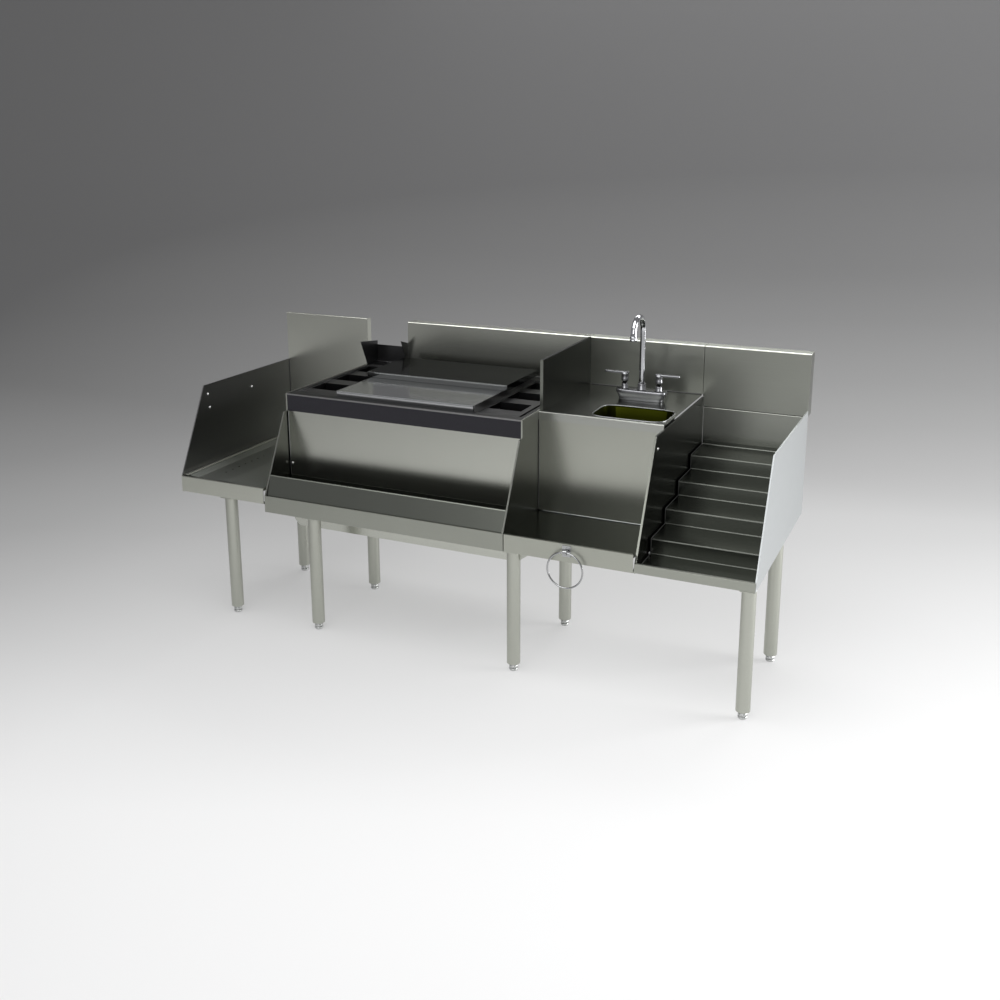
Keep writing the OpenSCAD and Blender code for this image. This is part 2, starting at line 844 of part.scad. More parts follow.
module bin_backsplash() color("lightgray") placed() {
    splash_piece(chase_end, x_sink - seam_gap, work_z + touch_gap);
}

module divider_panel() color("gray") placed() {
    lo = [x_sink, shelf_d + divider_setback, deck_z + touch_gap];
    hi = [x_sink + divider_t, splash_y - touch_gap, splash_top_z];
    difference() {
        block(lo, hi);
        block([lo.x + sheet, lo.y + sheet, lo.z - over],
              [hi.x - sheet, hi.y + over, hi.z - sheet]);
        block([lo.x - over, lo.y - over, lo.z - over],
              [hi.x + over, shelf_d + deck_roll + deck_edge_h + bend_r,
               deck_z + deck_edge_h + touch_gap]);
    }
}

module rounded_slab(lo, hi, r, from, to) {
    translate([0, 0, from]) linear_extrude(to - from) {
        translate([lo.x + r, lo.y]) square([hi.x - lo.x - 2 * r, hi.y - lo.y]);
        translate([lo.x, lo.y + r]) square([hi.x - lo.x, hi.y - lo.y - 2 * r]);
        for (x = [lo.x + r, hi.x - r], y = [lo.y + r, hi.y - r])
            translate([x, y]) circle(r = r);
    }
}

module sink_deck() color("gray") placed() {
    x0 = x_sink + seam_gap;
    x1 = x_disp - mid_t / 2 - seam_gap;
    difference() {
        fold_x(x0, x1, [[shelf_d - touch_gap - sheet, deck_z - deck_nose],
                        [shelf_d - touch_gap - sheet, deck_z + deck_edge_h],
                        [shelf_d + deck_roll, deck_z + deck_edge_h],
                        [shelf_d + deck_roll + deck_edge_h, deck_z],
                        [splash_y - touch_gap, deck_z]]);
        rounded_slab([bowl_x, bowl_y], [bowl_x + bowl_w, bowl_y + bowl_l], bowl_r,
                     deck_z - sheet - over, deck_z + over);
        for (side = [-1, 1])
            rod([tap.x + side * tap_centres / 2, tap.y, deck_z - sheet - over],
                shank_d + slide_gap, sheet + 2 * over);
    }
}

// Half of a pressed bowl: a rounded top outline drawn down to a smaller rounded floor
module bowl_form(grow, depth) {
    r = bowl_r + grow;
    low_r = bowl_floor_r + grow;
    top = deck_z - sheet - touch_gap;
    hull() {
        for (sx = [-1, 1], sy = [-1, 1]) {
            translate([bowl_mid.x + sx * (bowl_w / 2 - bowl_r),
                       bowl_mid.y + sy * (bowl_l / 2 - bowl_r), top - sheet])
                cylinder(r = r, h = sheet, $fn = 32);
            translate([bowl_mid.x + sx * (bowl_w / 2 - bowl_taper - bowl_floor_r),
                       bowl_mid.y + sy * (bowl_l / 2 - bowl_taper - bowl_floor_r),
                       top - depth + low_r])
                sphere(r = low_r, $fn = 32);
        }
    }
}

module sink_bowl() color("olivedrab") placed() {
    top = deck_z - sheet - touch_gap;
    edge = bowl_flange;
    difference() {
        union() {
            bowl_form(sheet, bowl_h + sheet);
            rounded_slab([bowl_x - edge, bowl_y - edge],
                         [bowl_x + bowl_w + edge, bowl_y + bowl_l + edge], bowl_r + edge,
                         top - sheet, top);
        }
        bowl_form(0, bowl_h);
        rounded_slab([bowl_x, bowl_y], [bowl_x + bowl_w, bowl_y + bowl_l], bowl_r,
                     top - sheet - over, top + over);
        rod([bowl_mid.x, bowl_mid.y, top - bowl_h - 2 * sheet], outlet_d + 2 * touch_gap,
            4 * sheet);
    }
}

module sink_strainer() color("silver") placed() {
    floor_z = deck_z - 2 * sheet - touch_gap - bowl_h + sheet;
    at = [bowl_mid.x, bowl_mid.y, floor_z + touch_gap];
    difference() {
        union() {
            rod(at, strainer_d, strainer_t);
            rod(at - [0, 0, hem_w], outlet_d, hem_w + strainer_t);
        }
        rod(at - [0, 0, hem_w + over], tail_d - 2 * leg_wall, hem_w + over);
        for (i = [0 : strainer_holes - 1])
            rotate_about(at, i * 360 / strainer_holes)
                rod(at + [tail_d / 4, 0, -over], strainer_hole_d, strainer_t + 2 * over);
    }
}

module sink_tailpiece() color("silver") placed() {
    top = deck_z - 2 * sheet - bowl_h - hem_w + sheet;
    difference() {
        rod([bowl_mid.x, bowl_mid.y, top - tail_l], tail_d, tail_l - touch_gap);
        rod([bowl_mid.x, bowl_mid.y, top - tail_l - over], tail_d - 2 * leg_wall,
            tail_l + 2 * over);
    }
}

module sink_front_panel() color("lightgray") placed() {
    fold_x(x_sink + panel_seam, x_disp - mid_t / 2 - seam_gap,
           [[shelf_d + panel_foot, shelf_z + touch_gap], [shelf_d, shelf_z + touch_gap],
            [shelf_d, deck_z - sheet - touch_gap],
            [shelf_d + panel_foot, deck_z - sheet - touch_gap]]);
}

module low_shelf() color("#333633") placed() {
    x0 = x_sink + seam_gap;
    x1 = x_disp - mid_t / 2 - seam_gap;
    fold_x(x0, x1, [[hem_w + touch_gap + sheet, apron_top - sheet - touch_gap],
                    [hem_w + touch_gap + sheet, shelf_z],
                    [shelf_d + panel_foot + bend_r + touch_gap, shelf_z],
                    [shelf_d + panel_foot + bend_r + touch_gap, shelf_z + panel_foot]]);
}

module sink_apron() color("lightgray") placed() {
    apron_piece(x_sink + panel_seam, x_disp - panel_seam, 0, mid_t / 2 + touch_gap, apron_h);
}

module sink_side_panel() color("gray") placed() {
    foot = [sheet + touch_gap, apron_z];
    low = splash_outline(foot, mid_splash_z, apron_z, splash_y);
    turned_panel([low[0], low[1], low[2], low[3]], x_disp - mid_t / 2, x_disp + mid_t / 2);
}

module sink_backsplash() color("lightgray") placed() {
    splash_piece(x_sink, x_disp - splash_seam, deck_z + touch_gap);
}

module faucet_body() color("slategray") placed() {
    bottom = deck_z + touch_gap;
    foot_lo = [tap.x - tap_foot.x / 2, tap.y - tap_foot.y / 2];
    top_lo = [tap.x - tap_top.x / 2, tap.y - tap_top.y / 2];
    difference() {
        union() {
            hull() {
                rounded_slab(foot_lo, foot_lo + tap_foot, tap_corner, bottom, bottom + sheet);
                rounded_slab(top_lo, top_lo + tap_top, tap_corner, bottom + tap_h - 5 * sheet,
                             bottom + tap_h);
            }
            rod([tap.x, tap.y, bottom + tap_h - over], collar_d, collar_h + over);
            for (side = [-1, 1])
                rod([tap.x + side * tap_centres / 2, tap.y, bottom + tap_h - over], bonnet_d,
                    bonnet_h + over);
        }
        rod([tap.x, tap.y, bottom + tap_h + collar_h - socket_h],
            spout_d + 2 * running_gap, socket_h + over);
        for (side = [-1, 1])
            rod([tap.x + side * tap_centres / 2, tap.y,
                 bottom + tap_h + bonnet_h - valve_grip - over],
                valve_d + 2 * running_gap, valve_grip + 2 * over);
    }
}

// Swan-neck tube: straight rise, half turn to the front, short outlet
module tube(at, h) {
    translate(at) linear_extrude(h) difference() {
        circle(d = spout_d);
        circle(d = spout_d - 2 * spout_wall);
    }
}

module faucet_spout() color("gainsboro") placed() {
    socket = deck_z + touch_gap + tap_h + collar_h - socket_h + touch_gap;
    bend_z = deck_z + tap_h + spout_rise;
    tube([tap.x, tap.y, socket], bend_z - socket);
    tube([tap.x, tap.y - 2 * spout_r, bend_z - spout_drop], spout_drop);
    translate([tap.x, tap.y - spout_r, bend_z]) rotate([90, 0, 90])
        rotate_extrude(angle = 180) translate([spout_r, 0]) difference() {
            circle(d = spout_d);
            circle(d = spout_d - 2 * spout_wall);
        }
}

module faucet_aerator() color("silver") placed() {
    low = deck_z + tap_h + spout_rise - spout_drop - aerator_h + aerator_grip;
    at = [tap.x, tap.y - 2 * spout_r, low];
    difference() {
        rod(at, aerator_d, aerator_h);
        rod(at + [0, 0, aerator_h - aerator_grip], spout_d, aerator_grip + over);
        rod(at - [0, 0, over], spout_d - 4 * spout_wall, aerator_h);
    }
}

// Lever handle: hub over the valve stem and a tapered blade to one side
module lever(side) {
    x = tap.x + side * tap_centres / 2;
    low = deck_z + touch_gap + tap_h + bonnet_h + slide_gap;
    top = low + hub_h;
    difference() {
        union() {
            rod([x, tap.y, low], hub_d, hub_h);
            translate([x, tap.y, top - lever_t / 2]) linear_extrude(lever_t)
                polygon([[-side * lever_tail, -lever_root / 2],
                         [side * lever_l, -lever_tip / 2], [side * lever_l, lever_tip / 2],
                         [-side * lever_tail, lever_root / 2]]);
            rod([x + side * lever_l, tap.y, top - lever_t / 2], lever_tip, lever_t);
        }
        rod([x, tap.y, low - over], valve_d, hub_bore_h + over);
    }
}

module left_handle() color("silver") placed() lever(-1);

module right_handle() color("silver") placed() lever(1);

module valve_stem(side) {
    low = deck_z + touch_gap + tap_h + bonnet_h - valve_grip;
    rod([tap.x + side * tap_centres / 2, tap.y, low], valve_d,
        valve_grip + slide_gap + hub_bore_h);
}

module valve_stem_left() color("goldenrod") placed() valve_stem(-1);

module valve_stem_right() color("goldenrod") placed() valve_stem(1);

// Threaded shanks under the deck, each with its nut
module faucet_shanks() color("goldenrod") placed() {
    for (side = [-1, 1]) {
        at = [tap.x + side * tap_centres / 2, tap.y, deck_z - shank_l];
        difference() {
            union() {
                rod(at, shank_d, shank_l);
                translate([at.x, at.y, deck_z - sheet - touch_gap - nut_h])
                    cylinder(d = nut_d, h = nut_h, $fn = 6);
            }
            rod(at - [0, 0, over], shank_d - 2 * shank_wall, shank_l + 2 * over);
        }
    }
}

module ring_bracket() color("silver") placed() {
    at = [ring_x - eye_l / 2, -ring_stand, ring_z];
    difference() {
        union() {
            block([ring_x - bracket_w / 2, -bracket_t - touch_gap, ring_z - bracket_h / 2],
                  [ring_x + bracket_w / 2, -touch_gap, ring_z + bracket_h / 2]);
            translate(at) rotate([0, 90, 0]) cylinder(d = eye_d, h = eye_l);
            block([at.x, at.y, at.z - eye_d / 4],
                  [at.x + eye_l, -touch_gap - over, at.z + eye_d / 4]);
        }
        translate(at - [over, 0, 0]) rotate([0, 90, 0])
            cylinder(d = ring_wire + 2 * eye_play, h = eye_l + 2 * over);
    }
}

module towel_ring() color("gainsboro") placed() {
    translate([ring_x, -ring_stand, ring_z - ring_r]) rotate([90, 0, 0])
        rotate_extrude($fn = 64) translate([ring_r, 0]) circle(d = ring_wire, $fn = 24);
}

module display_pan() color("lightgray") placed() {
    x0 = x_disp + mid_t / 2 + seam_gap;
    x1 = x_end - hem_t - touch_gap;
    fold_x(x0, x1, [[splash_y - touch_gap, apron_z + return_w],
                    [splash_y - touch_gap, apron_z], [0, apron_z],
                    [0, display_apron_top], [hem_w, display_apron_top]]);
    block([x_disp + seam_gap, 0, apron_z], [x0 + over, sheet, display_apron_top]);
    block([x1 - over, 0, apron_z], [x_end, sheet, display_apron_top]);
}

// Stair of folded sheet on two end plates
module display_steps() color("#30332f") placed() {
    x0 = x_disp + mid_t / 2 + step_side_gap;
    x1 = x_end - hem_t - step_side_gap;
    nose = [for (i = [0 : treads - 1])
                each [[step_front + i * tread_l, step_z + i * tread_rise],
                      [step_front + (i + 1) * tread_l, step_z + i * tread_rise]]];
    top = step_front + treads * tread_l;
    high = step_z + (treads - 1) * tread_rise;
    stair = concat(nose, [[top, high + step_up]]);
    fold_x(x0, x1, stair);
    under = concat([[step_front, step_z - sheet / 2]],
                   [for (i = [1 : treads - 1])
                       each [[step_front + i * tread_l + sheet / 2,
                              step_z + (i - 1) * tread_rise - sheet / 2],
                             [step_front + i * tread_l + sheet / 2,
                              step_z + i * tread_rise - sheet / 2]]],
                   [[top - bend_r, high - sheet / 2],
                    [top - bend_r, apron_z + sheet + touch_gap],
                    [step_front, apron_z + sheet + touch_gap]]);
    for (x = [x0 + sheet, x1 - 2 * sheet])
        run_x(x, x + sheet) polygon(under);
}

module right_splash() color("white") placed() {
    foot = [sheet + touch_gap, apron_z];
    low = splash_outline(foot, end_splash_z, apron_z, splash_y);
    turned_panel([low[0], low[1], low[2], low[3]], x_end, x_end - hem_t);
}

module display_backsplash() color("lightgray") placed() {
    splash_piece(x_disp, x_end, seam_z + over);
}

module display_back() color("gray") placed() {
    fold_x(x_disp + mid_t / 2 + seam_gap, x_end - hem_t - touch_gap,
           [[splash_y, apron_z], [splash_y, seam_z], [splash_y + panel_foot, seam_z]]);
}

// Cross channels that carry the legs of the drainboard and of the sink
module leg_rails() color("gray") placed() {
    for (i = [0, 2]) {
        front = LEGS[i];
        rear = LEGS[i + 4];
        x0 = min(front.x, rear.x) - leg_d / 2;
        x1 = max(front.x, rear.x) + leg_d / 2;
        low = i == 0 ? drain_low : apron_z;
        high = (i == 0 ? pan_z : shelf_z) - sheet - touch_gap;
        run_y(return_w + touch_gap, rear.y + rail_bar_w / 2)
            polygon(wall([[x0, high], [x0, low], [x1, low], [x1, high]], -sheet));
    }
}

// Leg tubes with the plate that each is welded to
module legs() color("silver") placed() {
    for (p = LEGS) {
        difference() {
            union() {
                rod([p.x, p.y, foot_h], leg_d, p.z - foot_h);
                translate([p.x - leg_d / 2, p.y - leg_plate / 2, p.z])
                    cube([leg_d, leg_plate, leg_plate_t - touch_gap]);
                if (p == LEGS[2])
                    run_y(p.y - leg_plate_t / 2, p.y + leg_plate_t / 2)
                        polygon([[p.x + leg_d / 2 - over, p.z - gusset_h],
                                 [p.x + leg_d / 2 + gusset_w, p.z],
                                 [p.x + leg_d / 2 + gusset_w, p.z + leg_plate_t - touch_gap],
                                 [p.x + leg_d / 2 - over, p.z + leg_plate_t - touch_gap]]);
            }
            rod([p.x, p.y, foot_h - over], leg_d - 2 * leg_wall, p.z - foot_h);
        }
    }
}

module leg_plugs() color("silver") placed() {
    for (p = LEGS)
        difference() {
            rod([p.x, p.y, foot_h], leg_d - 2 * leg_wall - touch_gap, plug_h);
            rod([p.x, p.y, foot_h - over], stem_d + 2 * running_gap, plug_h + 2 * over);
        }
}

// Bullet foot with its threaded stem
module foot(i) {
    p = LEGS[i - 1];
    r = foot_d / 2;
    tip = foot_tip_d / 2;
    top = foot_h - touch_gap;
    translate([p.x, p.y, 0]) rotate_extrude()
        polygon([[0, 0], [tip, 0], [r, foot_chamfer], [r, top - foot_neck],
                 [stem_d / 2 + foot_neck, top], [stem_d / 2, top], [stem_d / 2, stem_l + top],
                 [0, stem_l + top]]);
}

module foot_1() color("darkgray") placed() foot(1);
module foot_2() color("darkgray") placed() foot(2);
module foot_3() color("darkgray") placed() foot(3);
module foot_4() color("darkgray") placed() foot(4);
module foot_5() color("darkgray") placed() foot(5);
module foot_6() color("darkgray") placed() foot(6);
module foot_7() color("darkgray") placed() foot(7);
module foot_8() color("darkgray") placed() foot(8);

// Bolt heads along X on a panel whose sloped edge rises from foot
module side_bolts(x, foot, back, top, shares) {
    for (s = shares) {
        rise = (top - foot.y) * s.y;
        edge = foot.x + rise * lean;
        translate([x, edge + (back - edge) * s.x, foot.y + rise])
            rotate([0, 90, 0]) cylinder(d = bolt_d, h = bolt_h);
    }
}

// Bolt heads on the side panels and on the bin's front, as separate solids
module panel_bolts() color("white") placed() {
    side_bolts(sheet + touch_gap, [sheet + touch_gap, drain_top], riser_y,
               end_splash_z + left_splash_extra, splash_bolt_shares);
    side_bolts(x_disp + mid_t / 2 + touch_gap, [sheet + touch_gap, apron_z], splash_y,
               mid_splash_z, mid_bolt_shares);
    translate([x_bin + bin_bolt_inset, rail_d - touch_gap, apron_top + bin_bolt_rise])
        rotate([90, 0, 0]) cylinder(d = bolt_d, h = bolt_h);
}

drain_pan();
pan_drain();
drain_insert();
left_splash();
left_riser();
hose_chase();
bin_left_panel();
bin_right_panel();
bin_shell();
bin_insulation();
bin_liner();
bin_drain();
bin_rim();
bin_fascia();
bottle_well_left();
bottle_well_right();
cover_rails();
front_cover();
rear_cover();
speed_rail();
rail_band();
bin_apron();
bin_backsplash();
divider_panel();
sink_deck();
sink_bowl();
sink_strainer();
sink_tailpiece();
sink_front_panel();
low_shelf();
sink_apron();
sink_side_panel();
sink_backsplash();
faucet_body();
faucet_spout();
faucet_aerator();
left_handle();
right_handle();
valve_stem_left();
valve_stem_right();
faucet_shanks();
ring_bracket();
towel_ring();
display_pan();
display_steps();
right_splash();
display_backsplash();
display_back();
leg_rails();
legs();
leg_plugs();
panel_bolts();
foot_1();
foot_2();
foot_3();
foot_4();
foot_5();
foot_6();
foot_7();
foot_8();
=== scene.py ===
# %% [markdown]
# # A stainless underbar station
# The station is folded from brushed sheet: a drainboard, an insulated ice bin, a hand sink and a
# stepped bottle display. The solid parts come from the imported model, and this lesson gives them
# their finishes and adds the pieces that a folded solid shows too coarsely: the tap, the pressed
# bowl, the dome nuts, the bullet feet and the rolled edges.

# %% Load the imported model
import math

import bmesh
import bpy
import numpy as np
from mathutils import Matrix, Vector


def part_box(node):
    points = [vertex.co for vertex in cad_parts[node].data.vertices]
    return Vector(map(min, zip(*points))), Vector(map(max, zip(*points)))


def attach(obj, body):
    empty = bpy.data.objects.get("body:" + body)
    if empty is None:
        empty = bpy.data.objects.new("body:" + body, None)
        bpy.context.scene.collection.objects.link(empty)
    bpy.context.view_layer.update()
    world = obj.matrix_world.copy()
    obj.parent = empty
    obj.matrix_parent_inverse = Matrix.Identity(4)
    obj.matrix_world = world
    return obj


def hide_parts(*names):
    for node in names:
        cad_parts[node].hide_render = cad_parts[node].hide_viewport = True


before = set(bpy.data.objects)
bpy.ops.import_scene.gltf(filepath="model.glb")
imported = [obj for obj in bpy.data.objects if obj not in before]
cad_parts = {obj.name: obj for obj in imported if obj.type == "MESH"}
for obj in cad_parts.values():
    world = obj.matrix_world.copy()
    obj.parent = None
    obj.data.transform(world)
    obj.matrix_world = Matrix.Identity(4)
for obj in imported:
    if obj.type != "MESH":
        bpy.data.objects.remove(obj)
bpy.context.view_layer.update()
MM = 0.001
SAME_POINT = 1e-7

# %% [markdown]
# The photograph was taken from the bartender's right and looks down on the station a little. Its
# principal point is not the middle of the picture, so the lens is shifted.

# %% Camera
lens = bpy.data.cameras.new("camera")
camera = bpy.data.objects.new("camera", lens)
bpy.context.scene.collection.objects.link(camera)
camera.location = (1.5115, -3.1886, 1.6234)
camera.rotation_euler = (math.radians(76.15), 0, math.radians(24.14))
lens.sensor_width = 36
lens.lens = 40.08
lens.shift_x = -0.0111
lens.shift_y = -0.1007
bpy.context.scene.camera = camera
bpy.context.scene.view_settings.view_transform = "Standard"
print("camera at", tuple(camera.location))

# %% [markdown]
# Every new piece here is a grid of points worked out with numpy. A grid has rows along the first
# parameter and columns along the second. Joining the last column to the first makes a tube, and
# one face over the first or last row closes its end.

# %% Grids become meshes
def grid_faces(rows, columns, closed):
    """Quads between neighbouring rows and columns; a closed grid also joins its last column."""
    last = columns if closed else columns - 1
    row, column = np.meshgrid(np.arange(rows - 1), np.arange(last), indexing="ij")
    here = row * columns + column
    right = row * columns + (column + 1) % columns
    quads = np.stack([here, right, right + columns, here + columns], axis=-1)
    return quads.reshape(-1, 4).tolist()


def piece(name, grids, body, caps=True, smooth=True):
    """One object from several tubes of points, each (rows, columns, 3) in metres, riding a body."""
    points, faces, start = [], [], 0
    for grid in grids:
        rows, columns = grid.shape[:2]
        points.append(grid.reshape(-1, 3))
        faces += [[start + i for i in quad] for quad in grid_faces(rows, columns, True)]
        if caps:
            faces.append([start + i for i in range(columns)][::-1])
            faces.append([start + (rows - 1) * columns + i for i in range(columns)])
        start += rows * columns
    mesh = bpy.data.meshes.new(name)
    mesh.from_pydata(np.concatenate(points).tolist(), [], faces)
    shape = bmesh.new()
    shape.from_mesh(mesh)
    bmesh.ops.remove_doubles(shape, verts=shape.verts, dist=SAME_POINT)
    bmesh.ops.recalc_face_normals(shape, faces=shape.faces)
    shape.to_mesh(mesh)
    shape.free()
    if smooth:
        mesh.shade_smooth()
    else:
        mesh.shade_flat()
    made = bpy.data.objects.new(name, mesh)
    bpy.context.scene.collection.objects.link(made)
    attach(made, body)
    return made


def lathe(profile, centre, sides=64, ripple=0.0, teeth=0):
    """Turned surface: (r(u) cos v, r(u) sin v, z(u)), with r waved teeth times round by ripple."""
    profile = np.array(profile, float) * MM
    angle = np.linspace(0, 2 * np.pi, sides, endpoint=False)
    wave = 1 + ripple * np.cos(teeth * angle)
    radius = profile[:, :1] * wave
    grid = np.stack([radius * np.cos(angle), radius * np.sin(angle),
                     np.repeat(profile[:, 1:], sides, axis=1)], axis=-1)
    return grid + np.array(centre)


def arc(centre, radius, start, end, steps):
    """Points on part of a circle, from start to end in degrees, as (r, z) pairs in millimetres."""
    angle = np.radians(np.linspace(start, end, steps))
    return np.stack([centre[0] + radius * np.cos(angle),
                     centre[1] + radius * np.sin(angle)], axis=1).tolist()


def sweep(path, across, sides):
    """Tube along a path: p(u) + across(u) (cos v N + sin v B), with N kept as steady as can be."""
    path = np.array(path, float)
    across = np.broadcast_to(np.array(across, float), (len(path),))
    tangent = np.gradient(path, axis=0)
    tangent /= np.linalg.norm(tangent, axis=1, keepdims=True)
    askew = [0.3, 0.9, 0.2]
    side = np.cross(tangent[0], askew)
    normals = []
    for step in tangent:
        side = side - step * np.dot(side, step)
        side = side / np.linalg.norm(side)
        normals.append(side)
    normals = np.array(normals)
    binormals = np.cross(tangent, normals)
    angle = np.linspace(0, 2 * np.pi, sides, endpoint=False)[:, None]
    ring = np.cos(angle) * normals[:, None] + np.sin(angle) * binormals[:, None]
    return path[:, None] + across[:, None, None] * ring


print("helpers: grid, lathe, sweep")

# %% [markdown]
# Brushed stainless gets its look from fine parallel scratches. A noise that is stretched along
# the grain stands for them. The grain follows the bar on faces that look forwards or upwards and
# runs front to back on the end panels, so the group picks one of two noises by the face's
# normal. It also gives out two masks, one for faces that look sideways and one for faces that
# look up. The metal uses them to paint shade and highlights by the way a face looks, standing in
# for how the light falls. A second group adds the soft clouds that wiping leaves.

# %% Shared groups: brushed grain and wiping marks
def new_group(title, inputs, outputs):
    """Empty node group with float or vector sockets: {name: (socket type, default)}."""
    group = bpy.data.node_groups.new(title, "ShaderNodeTree")
    for name, (kind, default) in inputs.items():
        socket = group.interface.new_socket(name, in_out="INPUT", socket_type=kind)
        socket.default_value = default
    for name, kind in outputs.items():
        group.interface.new_socket(name, in_out="OUTPUT", socket_type=kind)
    return group, group.nodes.new("NodeGroupInput"), group.nodes.new("NodeGroupOutput")


def maths(tree, operation, *values):
    """Math node whose inputs are sockets or plain numbers; returns its output."""
    node = tree.nodes.new("ShaderNodeMath")
    node.operation = operation
    for slot_in, value in zip(node.inputs, values):
        if isinstance(value, (int, float)):
            slot_in.default_value = value
        else:
            tree.links.new(value, slot_in)
    return node.outputs[0]


def noise(tree, vector, scale, detail, roughness):
    """Noise texture on a vector socket; returns its value."""
    node = tree.nodes.new("ShaderNodeTexNoise")
    node.inputs["Scale"].default_value = scale
    node.inputs["Detail"].default_value = detail
    node.inputs["Roughness"].default_value = roughness
    tree.links.new(vector, node.inputs["Vector"])
    return node.outputs[0]


def stretched(tree, vector, scale):
    """Mapping node that scales a vector along each axis."""
    node = tree.nodes.new("ShaderNodeMapping")
    node.inputs["Scale"].default_value = scale
    tree.links.new(vector, node.inputs["Vector"])
    return node.outputs[0]


def mix_colours(tree, share, first, second):
    """Mix node between two colours, each a tuple or a socket; returns its colour."""
    node = tree.nodes.new("ShaderNodeMix")
    node.data_type = "RGBA"
    tree.links.new(share, node.inputs[0])
    for slot_in, colour in ((node.inputs[6], first), (node.inputs[7], second)):
        if isinstance(colour, tuple):
            slot_in.default_value = (*colour, 1)
        else:
            tree.links.new(colour, slot_in)
    return node.outputs[2]


def raise_relief(tree, shader, height, strength, distance):
    """Bump node between a height and the shader's normal."""
    node = tree.nodes.new("ShaderNodeBump")
    node.inputs["Strength"].default_value = strength
    node.inputs["Distance"].default_value = distance
    tree.links.new(height, node.inputs["Height"])
    tree.links.new(node.outputs[0], shader.inputs["Normal"])


def make_brushed_grain():
    """Scratch height and tone from two stretched noises, chosen by which way the face looks."""
    group, given, result = new_group(
        "Brushed grain", {"Depth": ("NodeSocketFloat", 0.5), "Fineness": ("NodeSocketFloat", 1.0),
                          "Turn": ("NodeSocketFloat", 0.7)},
        {"Tone": "NodeSocketFloat", "Height": "NodeSocketFloat", "Sideways": "NodeSocketFloat",
         "Upwards": "NodeSocketFloat"})
    place = group.nodes.new("ShaderNodeTexCoord")
    sized = group.nodes.new("ShaderNodeVectorMath")
    sized.operation = "SCALE"
    group.links.new(place.outputs["Object"], sized.inputs[0])
    group.links.new(given.outputs["Fineness"], sized.inputs["Scale"])
    lengthwise, fine = 1.5, 260
    along_bar, across_bar = (
        noise(group, stretched(group, sized.outputs[0], stretch), scale=3.0, detail=4.0, roughness=0.6)
        for stretch in ((lengthwise, fine, fine), (fine, lengthwise, fine)))
    parts = group.nodes.new("ShaderNodeSeparateXYZ")
    group.links.new(place.outputs["Normal"], parts.inputs[0])
    # These masks also pick the faces on which the metal paints shade and highlights.
    sideways = maths(group, "GREATER_THAN", maths(group, "ABSOLUTE", parts.outputs[0]),
                     given.outputs["Turn"])
    group.links.new(sideways, result.inputs["Sideways"])
    upwards = maths(group, "GREATER_THAN", parts.outputs[2], given.outputs["Turn"])
    group.links.new(upwards, result.inputs["Upwards"])
    picked = group.nodes.new("ShaderNodeMix")
    group.links.new(sideways, picked.inputs[0])
    group.links.new(along_bar, picked.inputs[2])
    group.links.new(across_bar, picked.inputs[3])
    height = maths(group, "SUBTRACT", picked.outputs[0], 0.5)
    group.links.new(height, result.inputs["Height"])
    tone = maths(group, "ADD", 1.0, maths(group, "MULTIPLY", height, given.outputs["Depth"]))
    group.links.new(tone, result.inputs["Tone"])
    return group


def make_wiping_marks():
    """Cloudy mask: a broad noise, broken by a finer one and lifted by Contrast."""
    group, given, result = new_group(
        "Wiping marks", {"Contrast": ("NodeSocketFloat", 2.0)}, {"Mask": "NodeSocketFloat"})
    place = group.nodes.new("ShaderNodeTexCoord")
    broad = noise(group, place.outputs["Object"], scale=3.2, detail=4.0, roughness=0.55)
    fine = noise(group, place.outputs["Object"], scale=21.0, detail=3.0, roughness=0.6)
    broad_share = 0.75
    both = maths(group, "ADD", maths(group, "MULTIPLY", broad, broad_share),
                 maths(group, "MULTIPLY", fine, 1 - broad_share))
    spread = maths(group, "MULTIPLY", maths(group, "SUBTRACT", both, 0.5), given.outputs["Contrast"])
    mask = maths(group, "ADD", spread, 0.5)
    group.links.new(mask, result.inputs["Mask"])
    return group


brushed_grain = make_brushed_grain()
wiping_marks = make_wiping_marks()
print("groups:", brushed_grain.name, wiping_marks.name)
